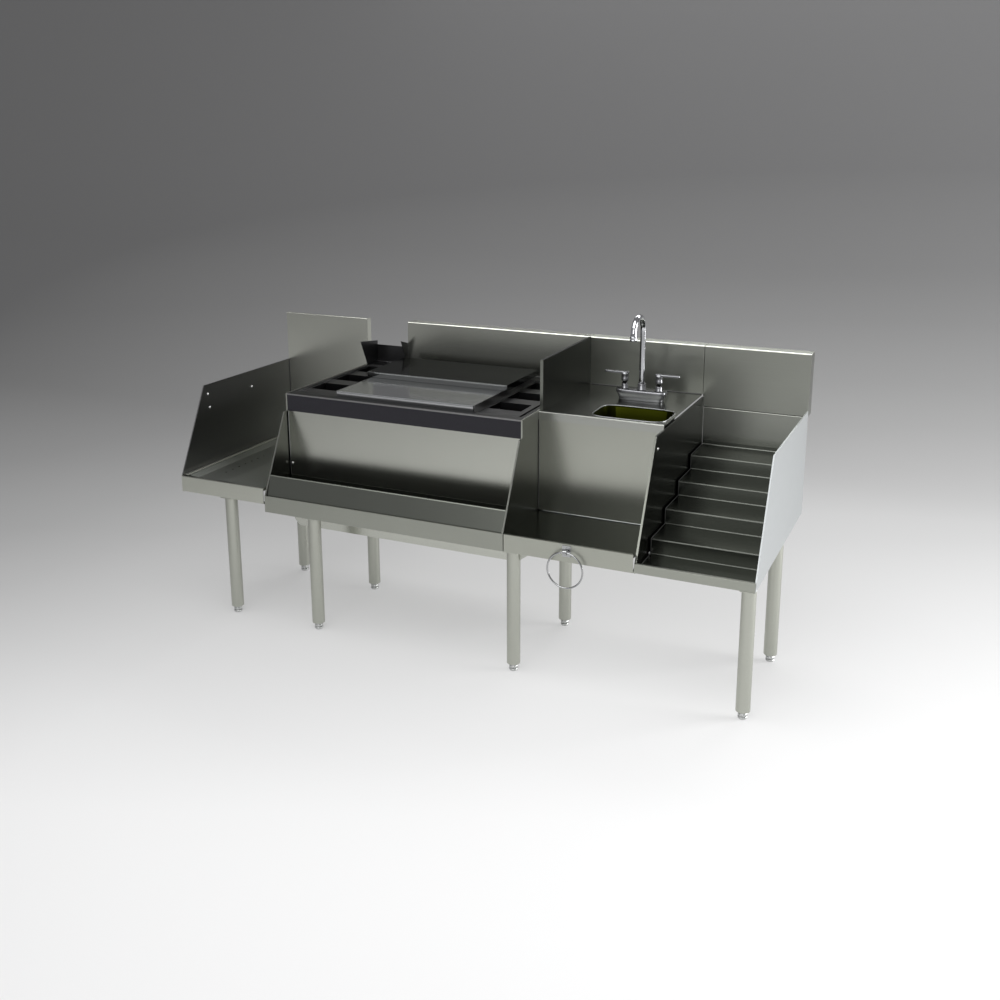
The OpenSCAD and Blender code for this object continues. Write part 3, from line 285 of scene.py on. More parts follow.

# %% [markdown]
# A metal finish is one Principled shader. Its colour starts from three tones, for faces that look
# forwards, sideways and up. The sideways and upward tones are painted shade and painted
# highlights, standing in for how the light falls on each side. They are multiplied by the grain
# and dulled a little where the wiping marks are. The same mask roughens the metal, and the
# grain's height goes through a Bump node into the normal. Any metal turns bright when it is seen
# at a flat angle. A glance under 1 holds that back as painted shade, so that the treads, the
# shelf, the deck, the rim and the rear cover keep a middle tone from above and a deep one from
# the front, and the display's back stays dark.

# %% Metal finish
def metal(name, tone, side=1.0, top=1.0, rough=0.34, grain_depth=0.1, fineness=1.0, bump=0.1,
          marks=1.2, turn=0.7, glance_shade=1.0):
    """Brushed metal whose front tone is scaled by side and top on faces that look those ways.

    A face counts as looking sideways or up when that part of its normal is over turn, and side and
    top paint shade or highlights on those faces. Glance scales the brightness at flat angles, as
    painted shade; marks is the contrast of the wiping marks.
    """
    finish = bpy.data.materials.new(name)
    finish.use_nodes = True
    tree = finish.node_tree
    shader = tree.nodes["Principled BSDF"]
    shader.inputs["Metallic"].default_value = 1.0
    # Painted shade at flat angles: a specular tint under 1 darkens the grazing reflections.
    shader.inputs["Specular Tint"].default_value = (glance_shade, glance_shade, glance_shade, 1)
    grain = tree.nodes.new("ShaderNodeGroup")
    grain.node_tree = brushed_grain
    grain.inputs["Depth"].default_value = grain_depth
    grain.inputs["Fineness"].default_value = fineness
    grain.inputs["Turn"].default_value = turn
    clouds = tree.nodes.new("ShaderNodeGroup")
    clouds.node_tree = wiping_marks
    clouds.inputs["Contrast"].default_value = marks
    colour = tone
    # Painted shade and painted highlights: faces that look sideways or up get the front tone times
    # side or top.
    for mask, share in (("Sideways", side), ("Upwards", top)):
        colour = mix_colours(tree, grain.outputs[mask], colour, tuple(share * c for c in tone))
    dulling, roughening, scratch_depth = 0.12, 0.08, 0.3 * MM
    wear = maths(tree, "SUBTRACT", 1 + dulling / 2,
                 maths(tree, "MULTIPLY", clouds.outputs["Mask"], dulling))
    scaled = tree.nodes.new("ShaderNodeVectorMath")
    scaled.operation = "SCALE"
    tree.links.new(colour, scaled.inputs[0])
    tree.links.new(maths(tree, "MULTIPLY", grain.outputs["Tone"], wear), scaled.inputs["Scale"])
    tree.links.new(scaled.outputs[0], shader.inputs["Base Color"])
    lift = maths(tree, "MULTIPLY", maths(tree, "SUBTRACT", clouds.outputs["Mask"], 0.5),
                 roughening)
    tree.links.new(maths(tree, "ADD", lift, rough), shader.inputs["Roughness"])
    raise_relief(tree, shader, grain.outputs["Height"], bump, scratch_depth)
    return finish


# What the fronts and panels share, and what the aprons and pans share
fine_sheet = {"rough": 0.25, "bump": 0.03, "marks": 0.6}
apron_sheet = {"rough": 0.38, "bump": 0.05, "marks": 0.8}
# One stainless steel in lit and shaded copies: each tone and its side and top shares below were set to
# how bright that part looks. Top shares over 1 are painted highlights on the top edges.
sheet_steel = metal("sheet_steel", (0.53, 0.54, 0.485), side=0.6, top=1.6, **fine_sheet)
riser_steel = metal("riser_steel", (0.64, 0.65, 0.585), side=1.3, top=1.3, **fine_sheet)
back_steel = metal("back_steel", (0.33, 0.34, 0.305), side=0.7, top=2.4, rough=0.30, bump=0.03,
                   marks=0.6)
# Painted shade on the display's back.
shaded_niche_steel = metal("shaded_niche_steel", (0.30, 0.31, 0.28), side=0.15, top=0.10, turn=0.3, glance_shade=0.1,
                    **fine_sheet)
bin_steel = metal("bin_steel", (0.52, 0.53, 0.48), side=0.7, **fine_sheet)
sink_steel = metal("sink_steel", (0.43, 0.44, 0.39), side=0.7, **fine_sheet)
panel_steel = metal("panel_steel", (0.41, 0.42, 0.38), side=0.42, **fine_sheet)
# Painted shade on the divider's sides.
divider_steel = metal("divider_steel", (0.26, 0.27, 0.24), side=0.165, top=0.25, **fine_sheet)
apron_steel = metal("apron_steel", (0.42, 0.43, 0.38), side=0.9, top=0.4, **apron_sheet)
drain_steel = metal("drain_steel", (0.55, 0.56, 0.50), side=0.9, top=0.3, **apron_sheet)
low_apron_steel = metal("low_apron_steel", (0.35, 0.36, 0.32), side=0.9, top=0.4, **apron_sheet)
# Painted shade in the speed rail, on the treads and on the shelf.
rail_steel = metal("rail_steel", (0.20, 0.21, 0.185), side=0.8, top=0.35, rough=0.31, bump=0.05)
shaded_tread_steel = metal("shaded_tread_steel", (0.145, 0.153, 0.136), side=0.8, top=0.6, rough=0.25,
                    bump=0.05, marks=0.8, turn=0.35, glance_shade=0.65)
shaded_shelf_steel = metal("shaded_shelf_steel", (0.10, 0.107, 0.094), side=0.8, top=0.6, rough=0.24, bump=0.05,
                    glance_shade=0.6)
insert_steel = metal("insert_steel", (0.27, 0.285, 0.26), side=0.8, top=0.75, rough=0.31,
                     bump=0.05)
rim_steel = metal("rim_steel", (0.30, 0.30, 0.30), top=0.35, rough=0.31, glance_shade=0.6)
# Painted shade in the bottle wells, on the left splash and in the hose chase; painted light on the
# right splash.
shaded_well_steel = metal("shaded_well_steel", (0.05, 0.05, 0.052), side=0.8, top=0.8)
shaded_splash_steel = metal("shaded_splash_steel", (0.30, 0.30, 0.30), top=0.15, rough=0.30, bump=0.05, marks=0.6)
shaded_chase_steel = metal("shaded_chase_steel", (0.08, 0.08, 0.082), top=0.8)
lit_splash_steel = metal("lit_splash_steel", (0.50, 0.52, 0.525), rough=0.42, marks=0.6)
cover_steel = metal("cover_steel", (0.60, 0.61, 0.62), side=0.8, rough=0.14, bump=0.02, marks=0.6)
rear_cover_steel = metal("rear_cover_steel", (0.36, 0.37, 0.36), side=0.8, top=0.7, rough=0.13,
                         grain_depth=0.05, bump=0.02, marks=0.6, glance_shade=0.37)
deck_steel = metal("deck_steel", (0.42, 0.43, 0.40), side=0.8, top=0.5, rough=0.22, bump=0.05,
                   marks=0.8, glance_shade=0.68)
tube_steel = metal("tube_steel", (0.46, 0.47, 0.42), rough=0.36, fineness=0.8)
# Painted shade on the bowl's sides and floor.
bowl_steel = metal("bowl_steel", (0.052, 0.060, 0.004), side=0.2, top=0.3, rough=0.50, turn=0.2)
edge_steel = metal("edge_steel", (0.34, 0.35, 0.35), rough=0.30)
tap_chrome = metal("tap_chrome", (0.66, 0.67, 0.69), top=0.8, rough=0.09, grain_depth=0.04,
                   bump=0.01, marks=0.8)
# Painted shade on the tops of the tap casting and the levers.
cast_chrome = metal("cast_chrome", (0.38, 0.385, 0.40), top=0.10, grain_depth=0.04, bump=0.02,
                    marks=0.8)
dull_chrome = metal("dull_chrome", (0.40, 0.405, 0.41), rough=0.20, grain_depth=0.04, bump=0.02,
                    marks=0.8)
nut_steel = metal("nut_steel", (0.85, 0.85, 0.84), rough=0.45, bump=0.05, marks=0.8)
brass = metal("brass", (0.72, 0.55, 0.26), rough=0.30, grain_depth=0.2)
cast_zinc = metal("cast_zinc", (0.50, 0.51, 0.52), rough=0.48, grain_depth=0.15, fineness=2.0,
                  bump=0.2)
foot_steel = metal("foot_steel", (0.58, 0.59, 0.58), rough=0.42, grain_depth=0.2)
zinc_channel = metal("zinc_channel", (0.40, 0.42, 0.43), rough=0.46, grain_depth=0.3,
                     fineness=0.3, marks=3.5)
print("metal finishes:", len([m for m in bpy.data.materials if m.use_nodes]))

# %% [markdown]
# Three parts are not metal: the dark satin band along the bin's front, the foam in its walls,
# which shows only when the shell is opened, and the grey sealant in the corners. The sealant
# also makes the dark bead beside the sink's front, which is painted shade in the gap there.

# %% Band, foam and sealant
def moulded(name, tone, deep, rough, scale, bump, gloss=0.5):
    """Plastic or foam: two tones mixed by a noise that also makes the surface uneven."""
    finish = bpy.data.materials.new(name)
    finish.use_nodes = True
    tree = finish.node_tree
    shader = tree.nodes["Principled BSDF"]
    shader.inputs["Specular IOR Level"].default_value = gloss
    place = tree.nodes.new("ShaderNodeTexCoord")
    cloud = noise(tree, place.outputs["Object"], scale, detail=5.0, roughness=0.6)
    tree.links.new(mix_colours(tree, cloud, tone, deep), shader.inputs["Base Color"])
    spread, pore_depth = 0.16, 0.6 * MM
    tree.links.new(maths(tree, "ADD", maths(tree, "MULTIPLY", cloud, spread), rough - spread / 2),
                   shader.inputs["Roughness"])
    raise_relief(tree, shader, cloud, bump, pore_depth)
    return finish


band_satin = moulded("band_satin", (0.013, 0.0125, 0.016), (0.022, 0.021, 0.027), rough=0.34,
                     scale=240, bump=0.08, gloss=0.3)
foam_block = moulded("foam_block", (0.74, 0.66, 0.42), (0.62, 0.54, 0.32), rough=0.85, scale=160,
                     bump=0.6)
sealant_and_gap_shade = moulded("sealant_and_gap_shade", (0.10, 0.102, 0.098), (0.07, 0.071, 0.069), rough=0.45, scale=90,
                  bump=0.2, gloss=0.2)
print("plain finishes:", band_satin.name, foam_block.name, sealant_and_gap_shade.name)

# %% [markdown]
# The folded parts keep their imported shape, so dressing them is only a choice of finish. The
# treads and the shelf mirror the dim wall and carry a deeper tone than the fronts, which is
# painted shade. The bottle wells, the hose chase, the display's back and the left splash carry
# painted shade too, and the right splash carries painted light.

# %% Dress the folded parts
finish_of = {
    bin_steel: ["bin_shell", "bin_liner"],
    sink_steel: ["sink_front_panel"],
    panel_steel: ["bin_left_panel", "bin_right_panel"],
    sheet_steel: ["bin_backsplash"],
    riser_steel: ["left_riser"],
    back_steel: ["sink_backsplash", "display_backsplash"],
    shaded_niche_steel: ["display_back"],
    divider_steel: ["divider_panel", "sink_side_panel"],
    apron_steel: ["sink_apron"],
    drain_steel: ["drain_pan"],
    low_apron_steel: ["display_pan", "bin_apron"],
    rail_steel: ["speed_rail", "rail_band"],
    shaded_tread_steel: ["display_steps"],
    shaded_shelf_steel: ["low_shelf"],
    insert_steel: ["drain_insert"],
    rim_steel: ["bin_rim", "cover_rails"],
    shaded_well_steel: ["bottle_well_left", "bottle_well_right"],
    shaded_splash_steel: ["left_splash"],
    shaded_chase_steel: ["hose_chase"],
    lit_splash_steel: ["right_splash"],
    cover_steel: ["front_cover"],
    rear_cover_steel: ["rear_cover"],
    deck_steel: ["sink_deck"],
    tube_steel: ["legs"],
    bowl_steel: ["sink_bowl"],
    tap_chrome: ["faucet_spout", "faucet_aerator", "sink_strainer", "sink_tailpiece"],
    dull_chrome: ["ring_bracket", "towel_ring"],
    cast_chrome: ["faucet_body", "left_handle", "right_handle"],
    nut_steel: ["panel_bolts"],
    brass: ["valve_stem_left", "valve_stem_right", "faucet_shanks", "bin_drain", "pan_drain"],
    cast_zinc: ["leg_plugs"],
    foot_steel: [f"foot_{i}" for i in range(1, 9)],
    zinc_channel: ["leg_rails"],
    band_satin: ["bin_fascia"],
    foam_block: ["bin_insulation"],
}


def dress(thing, finish):
    """The object's only material slot gets this finish."""
    thing.data.materials.clear()
    thing.data.materials.append(finish)
    return thing


for finish, names in finish_of.items():
    for name in names:
        dress(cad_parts[name], finish)
print("dressed:", sum(len(names) for names in finish_of.values()))

# %% [markdown]
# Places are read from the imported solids, so a new piece sits where its solid does.

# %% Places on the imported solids
def middle(node):
    """Centre of a node's box."""
    low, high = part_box(node)
    return (np.array(low) + np.array(high)) / 2


deck_lip = 4 * MM
deck_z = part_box("sink_deck")[1].z - deck_lip
tap_x, tap_y = middle("faucet_body")[:2]
tap_foot_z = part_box("faucet_body")[0].z
valve_reach = 57.5 * MM
print("tap at", round(tap_x, 4), round(tap_y, 4), "deck at", round(deck_z, 4))

# %% [markdown]
# The spout is one tube bent to a swan neck: a straight rise, a half circle towards the bartender
# and a short drop. Carrying a circle along that path gives the whole tube in one grid.

# %% Spout and aerator
tube_r, foot_to_tube, tube_in_aerator = (MM * v for v in (9.5, 42, 6))
spout_low, spout_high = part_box("faucet_spout")
bend_r = (middle("faucet_spout")[1] - spout_low.y) - tube_r
bend_z = spout_high.z - bend_r - tube_r
outlet_y = tap_y - 2 * bend_r
tip_z, grip_z = (v.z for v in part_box("faucet_aerator"))
rise = np.linspace(tap_foot_z + foot_to_tube, bend_z, 12)
turn = np.linspace(0, np.pi, 40)[1:-1]
drop = np.linspace(bend_z, grip_z - tube_in_aerator, 5)
route_y = np.concatenate([np.full(rise.size, tap_y), tap_y - bend_r + bend_r * np.cos(turn),
                          np.full(drop.size, outlet_y)])
route_z = np.concatenate([rise, bend_z + bend_r * np.sin(turn), drop])
route = np.stack([np.full(route_z.size, tap_x), route_y, route_z], axis=1)
spout = piece("spout_tube", [sweep(route, tube_r, 40)], "spout")
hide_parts("faucet_spout")
dress(spout, tap_chrome)

screen = [(7, 1.5), (7.6, 0), (10.4, 0), (11.4, 1.0), (11.9, 3), (11.9, 4)]
collar = [(11.9, 12), (11.4, 14), (9.6, 15), (9.5, 15)]
aerator = piece("aerator_shell", [
    lathe(screen, (tap_x, outlet_y, tip_z)),
    lathe([(11.9, 4), (11.75, 4.3), (11.75, 11.7), (11.9, 12)], (tap_x, outlet_y, tip_z), 144,
          0.012, 36),
    lathe(collar, (tap_x, outlet_y, tip_z))], "spout")
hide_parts("faucet_aerator")
dress(aerator, tap_chrome)
print("spout tube and aerator, bend radius", round(bend_r, 4))

# %% [markdown]
# The body is a hollow casting: a narrow foot that widens into a flat deck for the two valves.
# Stacked superellipses, |x/a|^n + |y/b|^n = 1, give its soft corners, and the collar and the
# bonnets are turned.

# %% Tap body
def superellipse(half_x, half_y, power, z, sides=96):
    """Closed outline (a sgn(c)|c|^(2/n), b sgn(s)|s|^(2/n), z)."""
    angle = np.linspace(0, 2 * np.pi, sides, endpoint=False)
    c, s = np.cos(angle), np.sin(angle)
    x = half_x * np.sign(c) * np.abs(c) ** (2 / power)
    y = half_y * np.sign(s) * np.abs(s) ** (2 / power)
    return np.stack([x, y, np.full(sides, z)], axis=1)


share = np.linspace(0, 1, 18)
flare_from, flare_over, rounded_from = 0.18, 0.62, 0.9
flare = 0.5 - 0.5 * np.cos(np.pi * np.clip((share - flare_from) / flare_over, 0, 1))
half_x = (73.6 + 9.2 * flare) * MM
half_y = (22.8 + 4.1 * flare) * MM
rounding = np.where(share > rounded_from, (share - rounded_from) * 12, 0) * MM
cast_tall, cast_gap = 33 * MM, 0.2 * MM
casting = np.stack([superellipse(a - r, b - r, 4.5, cast_tall * s)
                    for a, b, s, r in zip(half_x, half_y, share, rounding)])
casting += np.array([tap_x, tap_y, deck_z + cast_gap])
top_z = deck_z + cast_gap + cast_tall
collar = lathe([(14.9, -1), (14.9, 2), (13.2, 4), (13.2, 20)] + arc((11.2, 20), 2, 0, 90, 6)
               + [(9.7, 22), (9.7, 26)], (tap_x, tap_y, top_z))
bonnet = [(12.4, -1), (12.4, 2), (11, 4), (11, 14)] + arc((9, 14), 2, 0, 90, 6) + [(7, 24), (5.2, 24)]
bonnets = [lathe(bonnet, (tap_x + side * valve_reach, tap_y, top_z)) for side in (-1, 1)]
body = piece("tap_casting", [casting, collar, *bonnets], "station")
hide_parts("faucet_body")
dress(body, cast_chrome)
print("tap casting top at", round(top_z, 4))

# %% [markdown]
# Each lever is a turned hub with a square-edged blade. The blade is a stack of small superellipses
# carried outwards. It starts nearly as wide as the hub and narrows to a rounded fingertip.

# %% Levers
def lever(name, side, body_name, node):
    """Hub of revolution and a blade whose section shrinks along its length."""
    foot_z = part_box(node)[0].z
    x = tap_x + side * valve_reach
    blade_up, root, tip = 28, -12, 68
    hub = [(8, 0), (11.4, 0.6), (11.9, 3), (11.9, 9), (11.2, 11), (11.2, 20), (11.9, 22),
           (11.9, blade_up)]
    hub += arc((8.4, blade_up), 3, 0, 90, 6) + [(0.5, 31.8)]
    reach = np.linspace(root, tip, 26)
    half = np.interp(reach, [root, -6, 0, 20, 60, 66, tip], [5, 8.4, 9.0, 8.2, 7.0, 6.2, 4.5]) * MM
    thick = np.interp(reach, [root, -8, 0, 30, 64, tip], [3.0, 4.0, 4.3, 4.0, 3.8, 2.6]) * MM
    dip = 0.5 * np.sin(np.pi * np.clip(reach / tip, 0, 1)) * MM
    blade_z = foot_z + blade_up * MM
    rings = []
    for r, a, b, d in zip(reach, half, thick, dip):
        ring = superellipse(a, b, 6.0, 0, 28)
        rings.append(np.stack([np.full(len(ring), x + side * r * MM), tap_y + ring[:, 0],
                               blade_z - d + ring[:, 1]], axis=1))
    made = piece(name, [lathe(hub, (x, tap_y, foot_z)), np.stack(rings)], body_name)
    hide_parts(node)
    dress(made, cast_chrome)
    return made


lever("hot_lever_blade", -1, "hot_lever", "left_handle")
lever("cold_lever_blade", 1, "cold_lever", "right_handle")
print("two levers")

# %% [markdown]
# The towel ring is a torus: a small circle carried round a large one. It swings in the eye of
# its bracket, so it rides on its own body.

# %% Towel ring
ring_low, ring_high = (np.array(v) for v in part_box("towel_ring"))
ring_mid = (ring_low + ring_high) / 2
wire_r = 2.6 * MM
ring_r = (ring_high[0] - ring_low[0]) / 2 - wire_r
round_angle = np.linspace(0, 2 * np.pi, 121)
ring_route = np.stack([ring_mid[0] + ring_r * np.sin(round_angle),
                       np.full(round_angle.size, ring_mid[1]),
                       ring_mid[2] + ring_r * np.cos(round_angle)], axis=1)
towel_ring = piece("ring_wire", [sweep(ring_route, wire_r, 20)], "ring")
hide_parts("towel_ring")
dress(towel_ring, dull_chrome)
print("ring radius", round(ring_r, 4))

# %% [markdown]
# The bowl is pressed from one sheet: straight walls that lean in a little, a generous radius at
# the floor and a shallow fall to the waste. Superellipses that shrink along a quarter circle
# give it, and Solidify gives the sheet its thickness on the outside.

# %% Pressed bowl
bowl_low, bowl_high = (np.array(v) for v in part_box("sink_bowl"))
bowl_mid = (bowl_low + bowl_high) / 2
half = (bowl_high - bowl_low) / 2
flange, lean, wall_deep, floor_r, fall, waste_r = (MM * v for v in (8, 9, 152, 22, 2.2, 21.5))
edge_in, mouth_in, lip_in, lip_drop = (MM * v for v in (0.2, 1, 1.5, 2))


def bowl_row(inset, power, drop, waste_share=0.0):
    """Outline drawn in from the bowl's edge, let down, and shared with the waste's circle."""
    keep = 1 - waste_share
    return superellipse((half[0] - inset) * keep + waste_r * waste_share,
                        (half[1] - inset) * keep + waste_r * waste_share, power,
                        bowl_high[2] - drop)


rows = [bowl_row(edge_in, 6, 0), bowl_row(flange + mouth_in, 5, 0)]
for t in np.linspace(0, 1, 7):
    rows.append(bowl_row(flange + lip_in + lean * t, 5 - t, lip_drop + wall_deep * t))
wall_inset, wall_drop = flange + lip_in + lean, lip_drop + wall_deep
for t in np.linspace(0.1, 1, 9):
    bend = np.radians(90 * t)
    rows.append(bowl_row(wall_inset + floor_r * (1 - np.cos(bend)), 4 - 0.6 * t,
                         wall_drop + floor_r * np.sin(bend)))
for t in np.linspace(0.15, 1, 6):
    rows.append(bowl_row(wall_inset + floor_r, 3.4 - 1.4 * t, wall_drop + floor_r + fall * t, t))
pressed = np.stack(rows) + np.array([bowl_mid[0], bowl_mid[1], 0])
bowl = piece("pressed_bowl", [pressed], "station", caps=False)
wall = bowl.modifiers.new("wall", "SOLIDIFY")
wall.thickness = 1.3 * MM
wall.offset = -1
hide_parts("sink_bowl")
dress(bowl, bowl_steel)
print("bowl", np.round(2 * half, 4))

# %% [markdown]
# The bullet feet are turned from bar: a small flat, a rounded nose, six spanner flats worked in
# as a ripple of the radius, and a threaded stem. The thread is a wave of the stem's radius.

# %% Bullet feet
def bullet_foot(i):
    """Nose, spanner band and stem of one foot, on its own body."""
    low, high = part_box(f"foot_{i}")
    x, y = (low.x + high.x) / 2, (low.y + high.y) / 2
    nose = [(0.5, 0), (8.2, 0)] + arc((8.6, 5), 4.9, -90, 0, 8) + [(13.5, 9)]
    band = [(13.2, 9), (13.2, 20)]
    neck_top, stem_top = 24.6, 76
    neck = [(13.4, 20)] + arc((10.9, 21), 2.5, 0, 90, 6) + [(8.0, neck_top)]
    turns = np.linspace(neck_top, stem_top, 140)
    stem_r, thread, pitch = 7.55, 0.3, 2.0
    stem = np.stack([stem_r + thread * np.cos(2 * np.pi * turns / pitch), turns], axis=1).tolist()
    made = piece(f"bullet_foot_{i}", [lathe(nose, (x, y, 0)), lathe(band, (x, y, 0), 72, 0.02, 6),
                                      lathe(neck, (x, y, 0)), lathe(stem, (x, y, 0), 24)],
                 f"foot_{i}")
    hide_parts(f"foot_{i}")
    dress(made, foot_steel)


for i in range(1, 9):
    bullet_foot(i)
print("eight feet")

# %% [markdown]
# A welded leg has a ring of weld where the tube meets its plate. The bead's ripples are the
# frozen ends of the weld pool: a small wave on the radius of a torus.

# %% Weld beads on the legs
def weld_bead(x, y, z, radius):
    """Torus with a wavy section: wire(u) = bead_r (1 + ripple |sin(count u / 2)|)."""
    bead_r, ripple, count = 1.1 * MM, 0.25, 44
    angle = np.linspace(0, 2 * np.pi, 6 * count + 1)
    path = np.stack([x + radius * np.cos(angle), y + radius * np.sin(angle),
                     np.full(angle.size, z)], axis=1)
    return sweep(path, bead_r * (1 + ripple * np.abs(np.sin(count * angle / 2))), 8)


leg_r, plate, bead_down = (MM * v for v in (20.65, 3, 0.6))
under_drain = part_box("drain_pan")[0].z - plate
under_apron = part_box("bin_apron")[0].z - plate
under_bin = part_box("bin_shell")[0].z - plate
tops = [under_drain, under_apron, under_apron, under_apron,
        under_drain, under_bin, under_apron, under_apron]
rings = []
for i, top in enumerate(tops, 1):
    at = middle(f"foot_{i}")
    rings.append(weld_bead(at[0], at[1], top - bead_down, leg_r))
welds = piece("weld_beads", rings, "station", caps=False)
dress(welds, foot_steel)
print("weld beads:", len(rings))

# %% [markdown]
# Dome nuts close the bolts of the end splash and the panels, so that no thread can catch a cloth.
# Each is a hexagon with a ball on top, laid on its side against the sheet.

# %% Dome nuts
def nut_grids(base, forwards):
    """A hexagonal skirt and a dome of revolution; the axis lies along +X, or along -Y if forwards."""
    flatness = 0.74
    skirt = lathe([(0.1, 0), (4.5, 0), (4.5, 1.6), (3.9, 2.0)], (0, 0, 0), 6)
    dome = lathe([(3.4, 1.6)] + arc((0, 1.2), 3.4, 15, 88, 8), (0, 0, 0), 32)
    grids = []
    for grid in (skirt, dome):
        across_1, across_2, out = grid[..., 0], grid[..., 1], grid[..., 2] * flatness
        axes = [across_1, -out, across_2] if forwards else [out, across_1, across_2]
        grids.append(np.stack(axes, axis=-1) + np.array(base))
    return grids


def clusters(points, reach=12 * MM):
    """Groups points that lie within reach of each other and returns each group's box."""
    left, found = points.copy(), []
    while len(left):
        near = np.linalg.norm(left - left[0], axis=1) < reach
        found.append((left[near].min(0), left[near].max(0)))
        left = left[~near]
    return found


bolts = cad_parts["panel_bolts"]
grids = []
for low, high in clusters(np.array([v.co for v in bolts.data.vertices])):
    forwards = high[1] - low[1] < high[0] - low[0]
    base = (low + high) / 2
    base[1 if forwards else 0] = high[1] if forwards else low[0]
    grids += nut_grids(base, forwards)
nuts = piece("dome_nuts", grids, "station", smooth=False)
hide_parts("panel_bolts")
dress(nuts, nut_steel)
print("dome nuts:", len(grids) // 2)

# %% [markdown]
# Two corners of the work surface are sealed so that water stays on top: where the sink's deck
# and where the bin's rim meet the backsplash. The bead is a quarter round, bulging a little.

# %% Sealant beads
def bead_along(x0, x1, y, z):
    """Straight sweep of a small circle, wavering a little as a hand-run bead does."""
    radius = 2.2 * MM
    along = np.linspace(x0, x1, 60)
    waver = 0.12 * MM * np.sin(along * 90) + 0.08 * MM * np.sin(along * 231)
    path = np.stack([along, np.full(along.size, y), np.full(along.size, z)], axis=1)
    return sweep(path, radius + waver, 12)


back_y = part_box("sink_backsplash")[0].y
deck_low, deck_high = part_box("sink_deck")
rim_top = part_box("bin_rim")[1].z
splash_low, splash_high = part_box("bin_backsplash")
proud, end_gap, divider_gap = (MM * v for v in (0.6, 3, 14))
beads = piece("sealant_beads", [
    bead_along(deck_low.x + divider_gap, deck_high.x - end_gap, back_y - proud, deck_z + proud),
    bead_along(splash_low.x + end_gap, splash_high.x - end_gap, back_y - proud, rim_top + proud)],
    "station")
dress(beads, sealant_and_gap_shade)
print("two sealant beads")

# %% [markdown]
# The bowl is welded into the deck from above and the weld is ground to a bright round edge. A
# small circle carried round the opening's superellipse gives it.

# %% Rolled edge of the bowl's opening
def closed_sweep(outline, radius, sides):
    """Small circle carried round a closed level outline, its plane square to the way."""
    tangent = np.roll(outline, -1, axis=0) - np.roll(outline, 1, axis=0)
    tangent /= np.linalg.norm(tangent, axis=1, keepdims=True)
    outwards = np.cross(tangent, [0, 0, 1])
    angle = np.linspace(0, 2 * np.pi, sides, endpoint=False)[:, None]
    ring = np.cos(angle) * outwards[:, None] + np.sin(angle) * np.array([0, 0, 1])
    grid = outline[:, None] + radius * ring
    return np.concatenate([grid, grid[:1]])


edge_r, edge_up = 1.6 * MM, 0.3 * MM
opening = superellipse(half[0] - flange - mouth_in, half[1] - flange - mouth_in, 5,
                       deck_z + edge_up)
opening += np.array([bowl_mid[0], bowl_mid[1], 0])
rolled = piece("bowl_edge", [closed_sweep(opening, edge_r, 10)], "station", caps=False)
dress(rolled, edge_steel)
print("bowl edge:", len(rolled.data.polygons), "faces")

# %% [markdown]
# Where two folded sheets meet without a flange, a thin bead closes the joint so that nothing
# collects there: down the corner beside the bin's front, along the back of the low shelf, and
# beside the treads, where the bead climbs with them. The dark bead down the edge of the sink's
# front is painted shade, standing in for the shadow in the gap beside it.

# %% Beads in the joints
def straight_bead(start, end, radius):
    """Small circle carried along a straight line between two points."""
    return sweep(np.linspace(start, end, 24), radius, 10)


shell_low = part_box("bin_shell")[0]
front_low, front_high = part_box("sink_front_panel")
shelf_low, shelf_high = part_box("low_shelf")
speed_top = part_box("speed_rail")[1].z
fascia_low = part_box("bin_fascia")[0].z
corner_x, corner_y = shell_low.x - 0.1 * MM, shell_low.y - 0.2 * MM
shelf_y, shelf_z = front_low.y - 0.4 * MM, front_low.z + 1 * MM
corner_r, shelf_r, tread_r, joint_r = (MM * v for v in (1.2, 1.5, 1.3, 1.4))
shelf_from, shelf_to = shelf_low.x + 3 * MM, shelf_high.x - 1 * MM
seams = piece("bright_seams", [
    straight_bead((corner_x, corner_y, speed_top), (corner_x, corner_y, fascia_low), corner_r),
    straight_bead((shelf_from, shelf_y, shelf_z), (shelf_to, shelf_y, shelf_z), shelf_r)], "station")
dress(seams, edge_steel)

steps_low, steps_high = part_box("display_steps")
tread_count, tread_rise, back_lip = 5, 47 * MM, 14 * MM
tread_length = (steps_high.y - steps_low.y) / tread_count
first_z = steps_high.z - back_lip - (tread_count - 1) * tread_rise
corners = [(steps_low.y + (i + j) * tread_length, first_z + i * tread_rise)
           for i in range(tread_count) for j in (0, 1)]
climb = np.concatenate([np.linspace(a, b, 12, endpoint=False)
                        for a, b in zip(corners, corners[1:])])
tread_off = 0.9 * MM
dark_grids = [sweep(np.column_stack([np.full(len(climb), x), climb]), tread_r, 8)
              for x in (steps_low.x - tread_off, steps_high.x + tread_off)]
# Painted shade: this dark bead down the sink front's edge stands in for the shadow in the gap.
joint_x, joint_y, joint_from = front_low.x - 1.3 * MM, front_low.y + 0.6 * MM, front_low.z + 2 * MM
dark_grids.append(straight_bead((joint_x, joint_y, joint_from), (joint_x, joint_y, front_high.z),
                                joint_r))
joints = piece("dark_joints_and_gap_shade", dark_grids, "station")
dress(joints, sealant_and_gap_shade)
print("beads beside the treads and the sink's front:", len(dark_grids))

# %% [markdown]
# The floor and the wall behind are one curved sheet of paper. Its colour is painted light and
# painted shade: pale in front, a little paler on the right, and falling into grey above, so that
# the steel's upward faces mirror the dim wall and its fronts the pale floor, as in the photograph.
# To the camera, and to the reflections in the steel, more than half of the paper's tone is its own
# light, a painted glow which keeps the shadow under the station pale. This painted light is
# brightest in a pool to the right in front and falls off with the distance from there. The paper
# shows only its front, so a camera behind the wall or under the floor still sees the station.

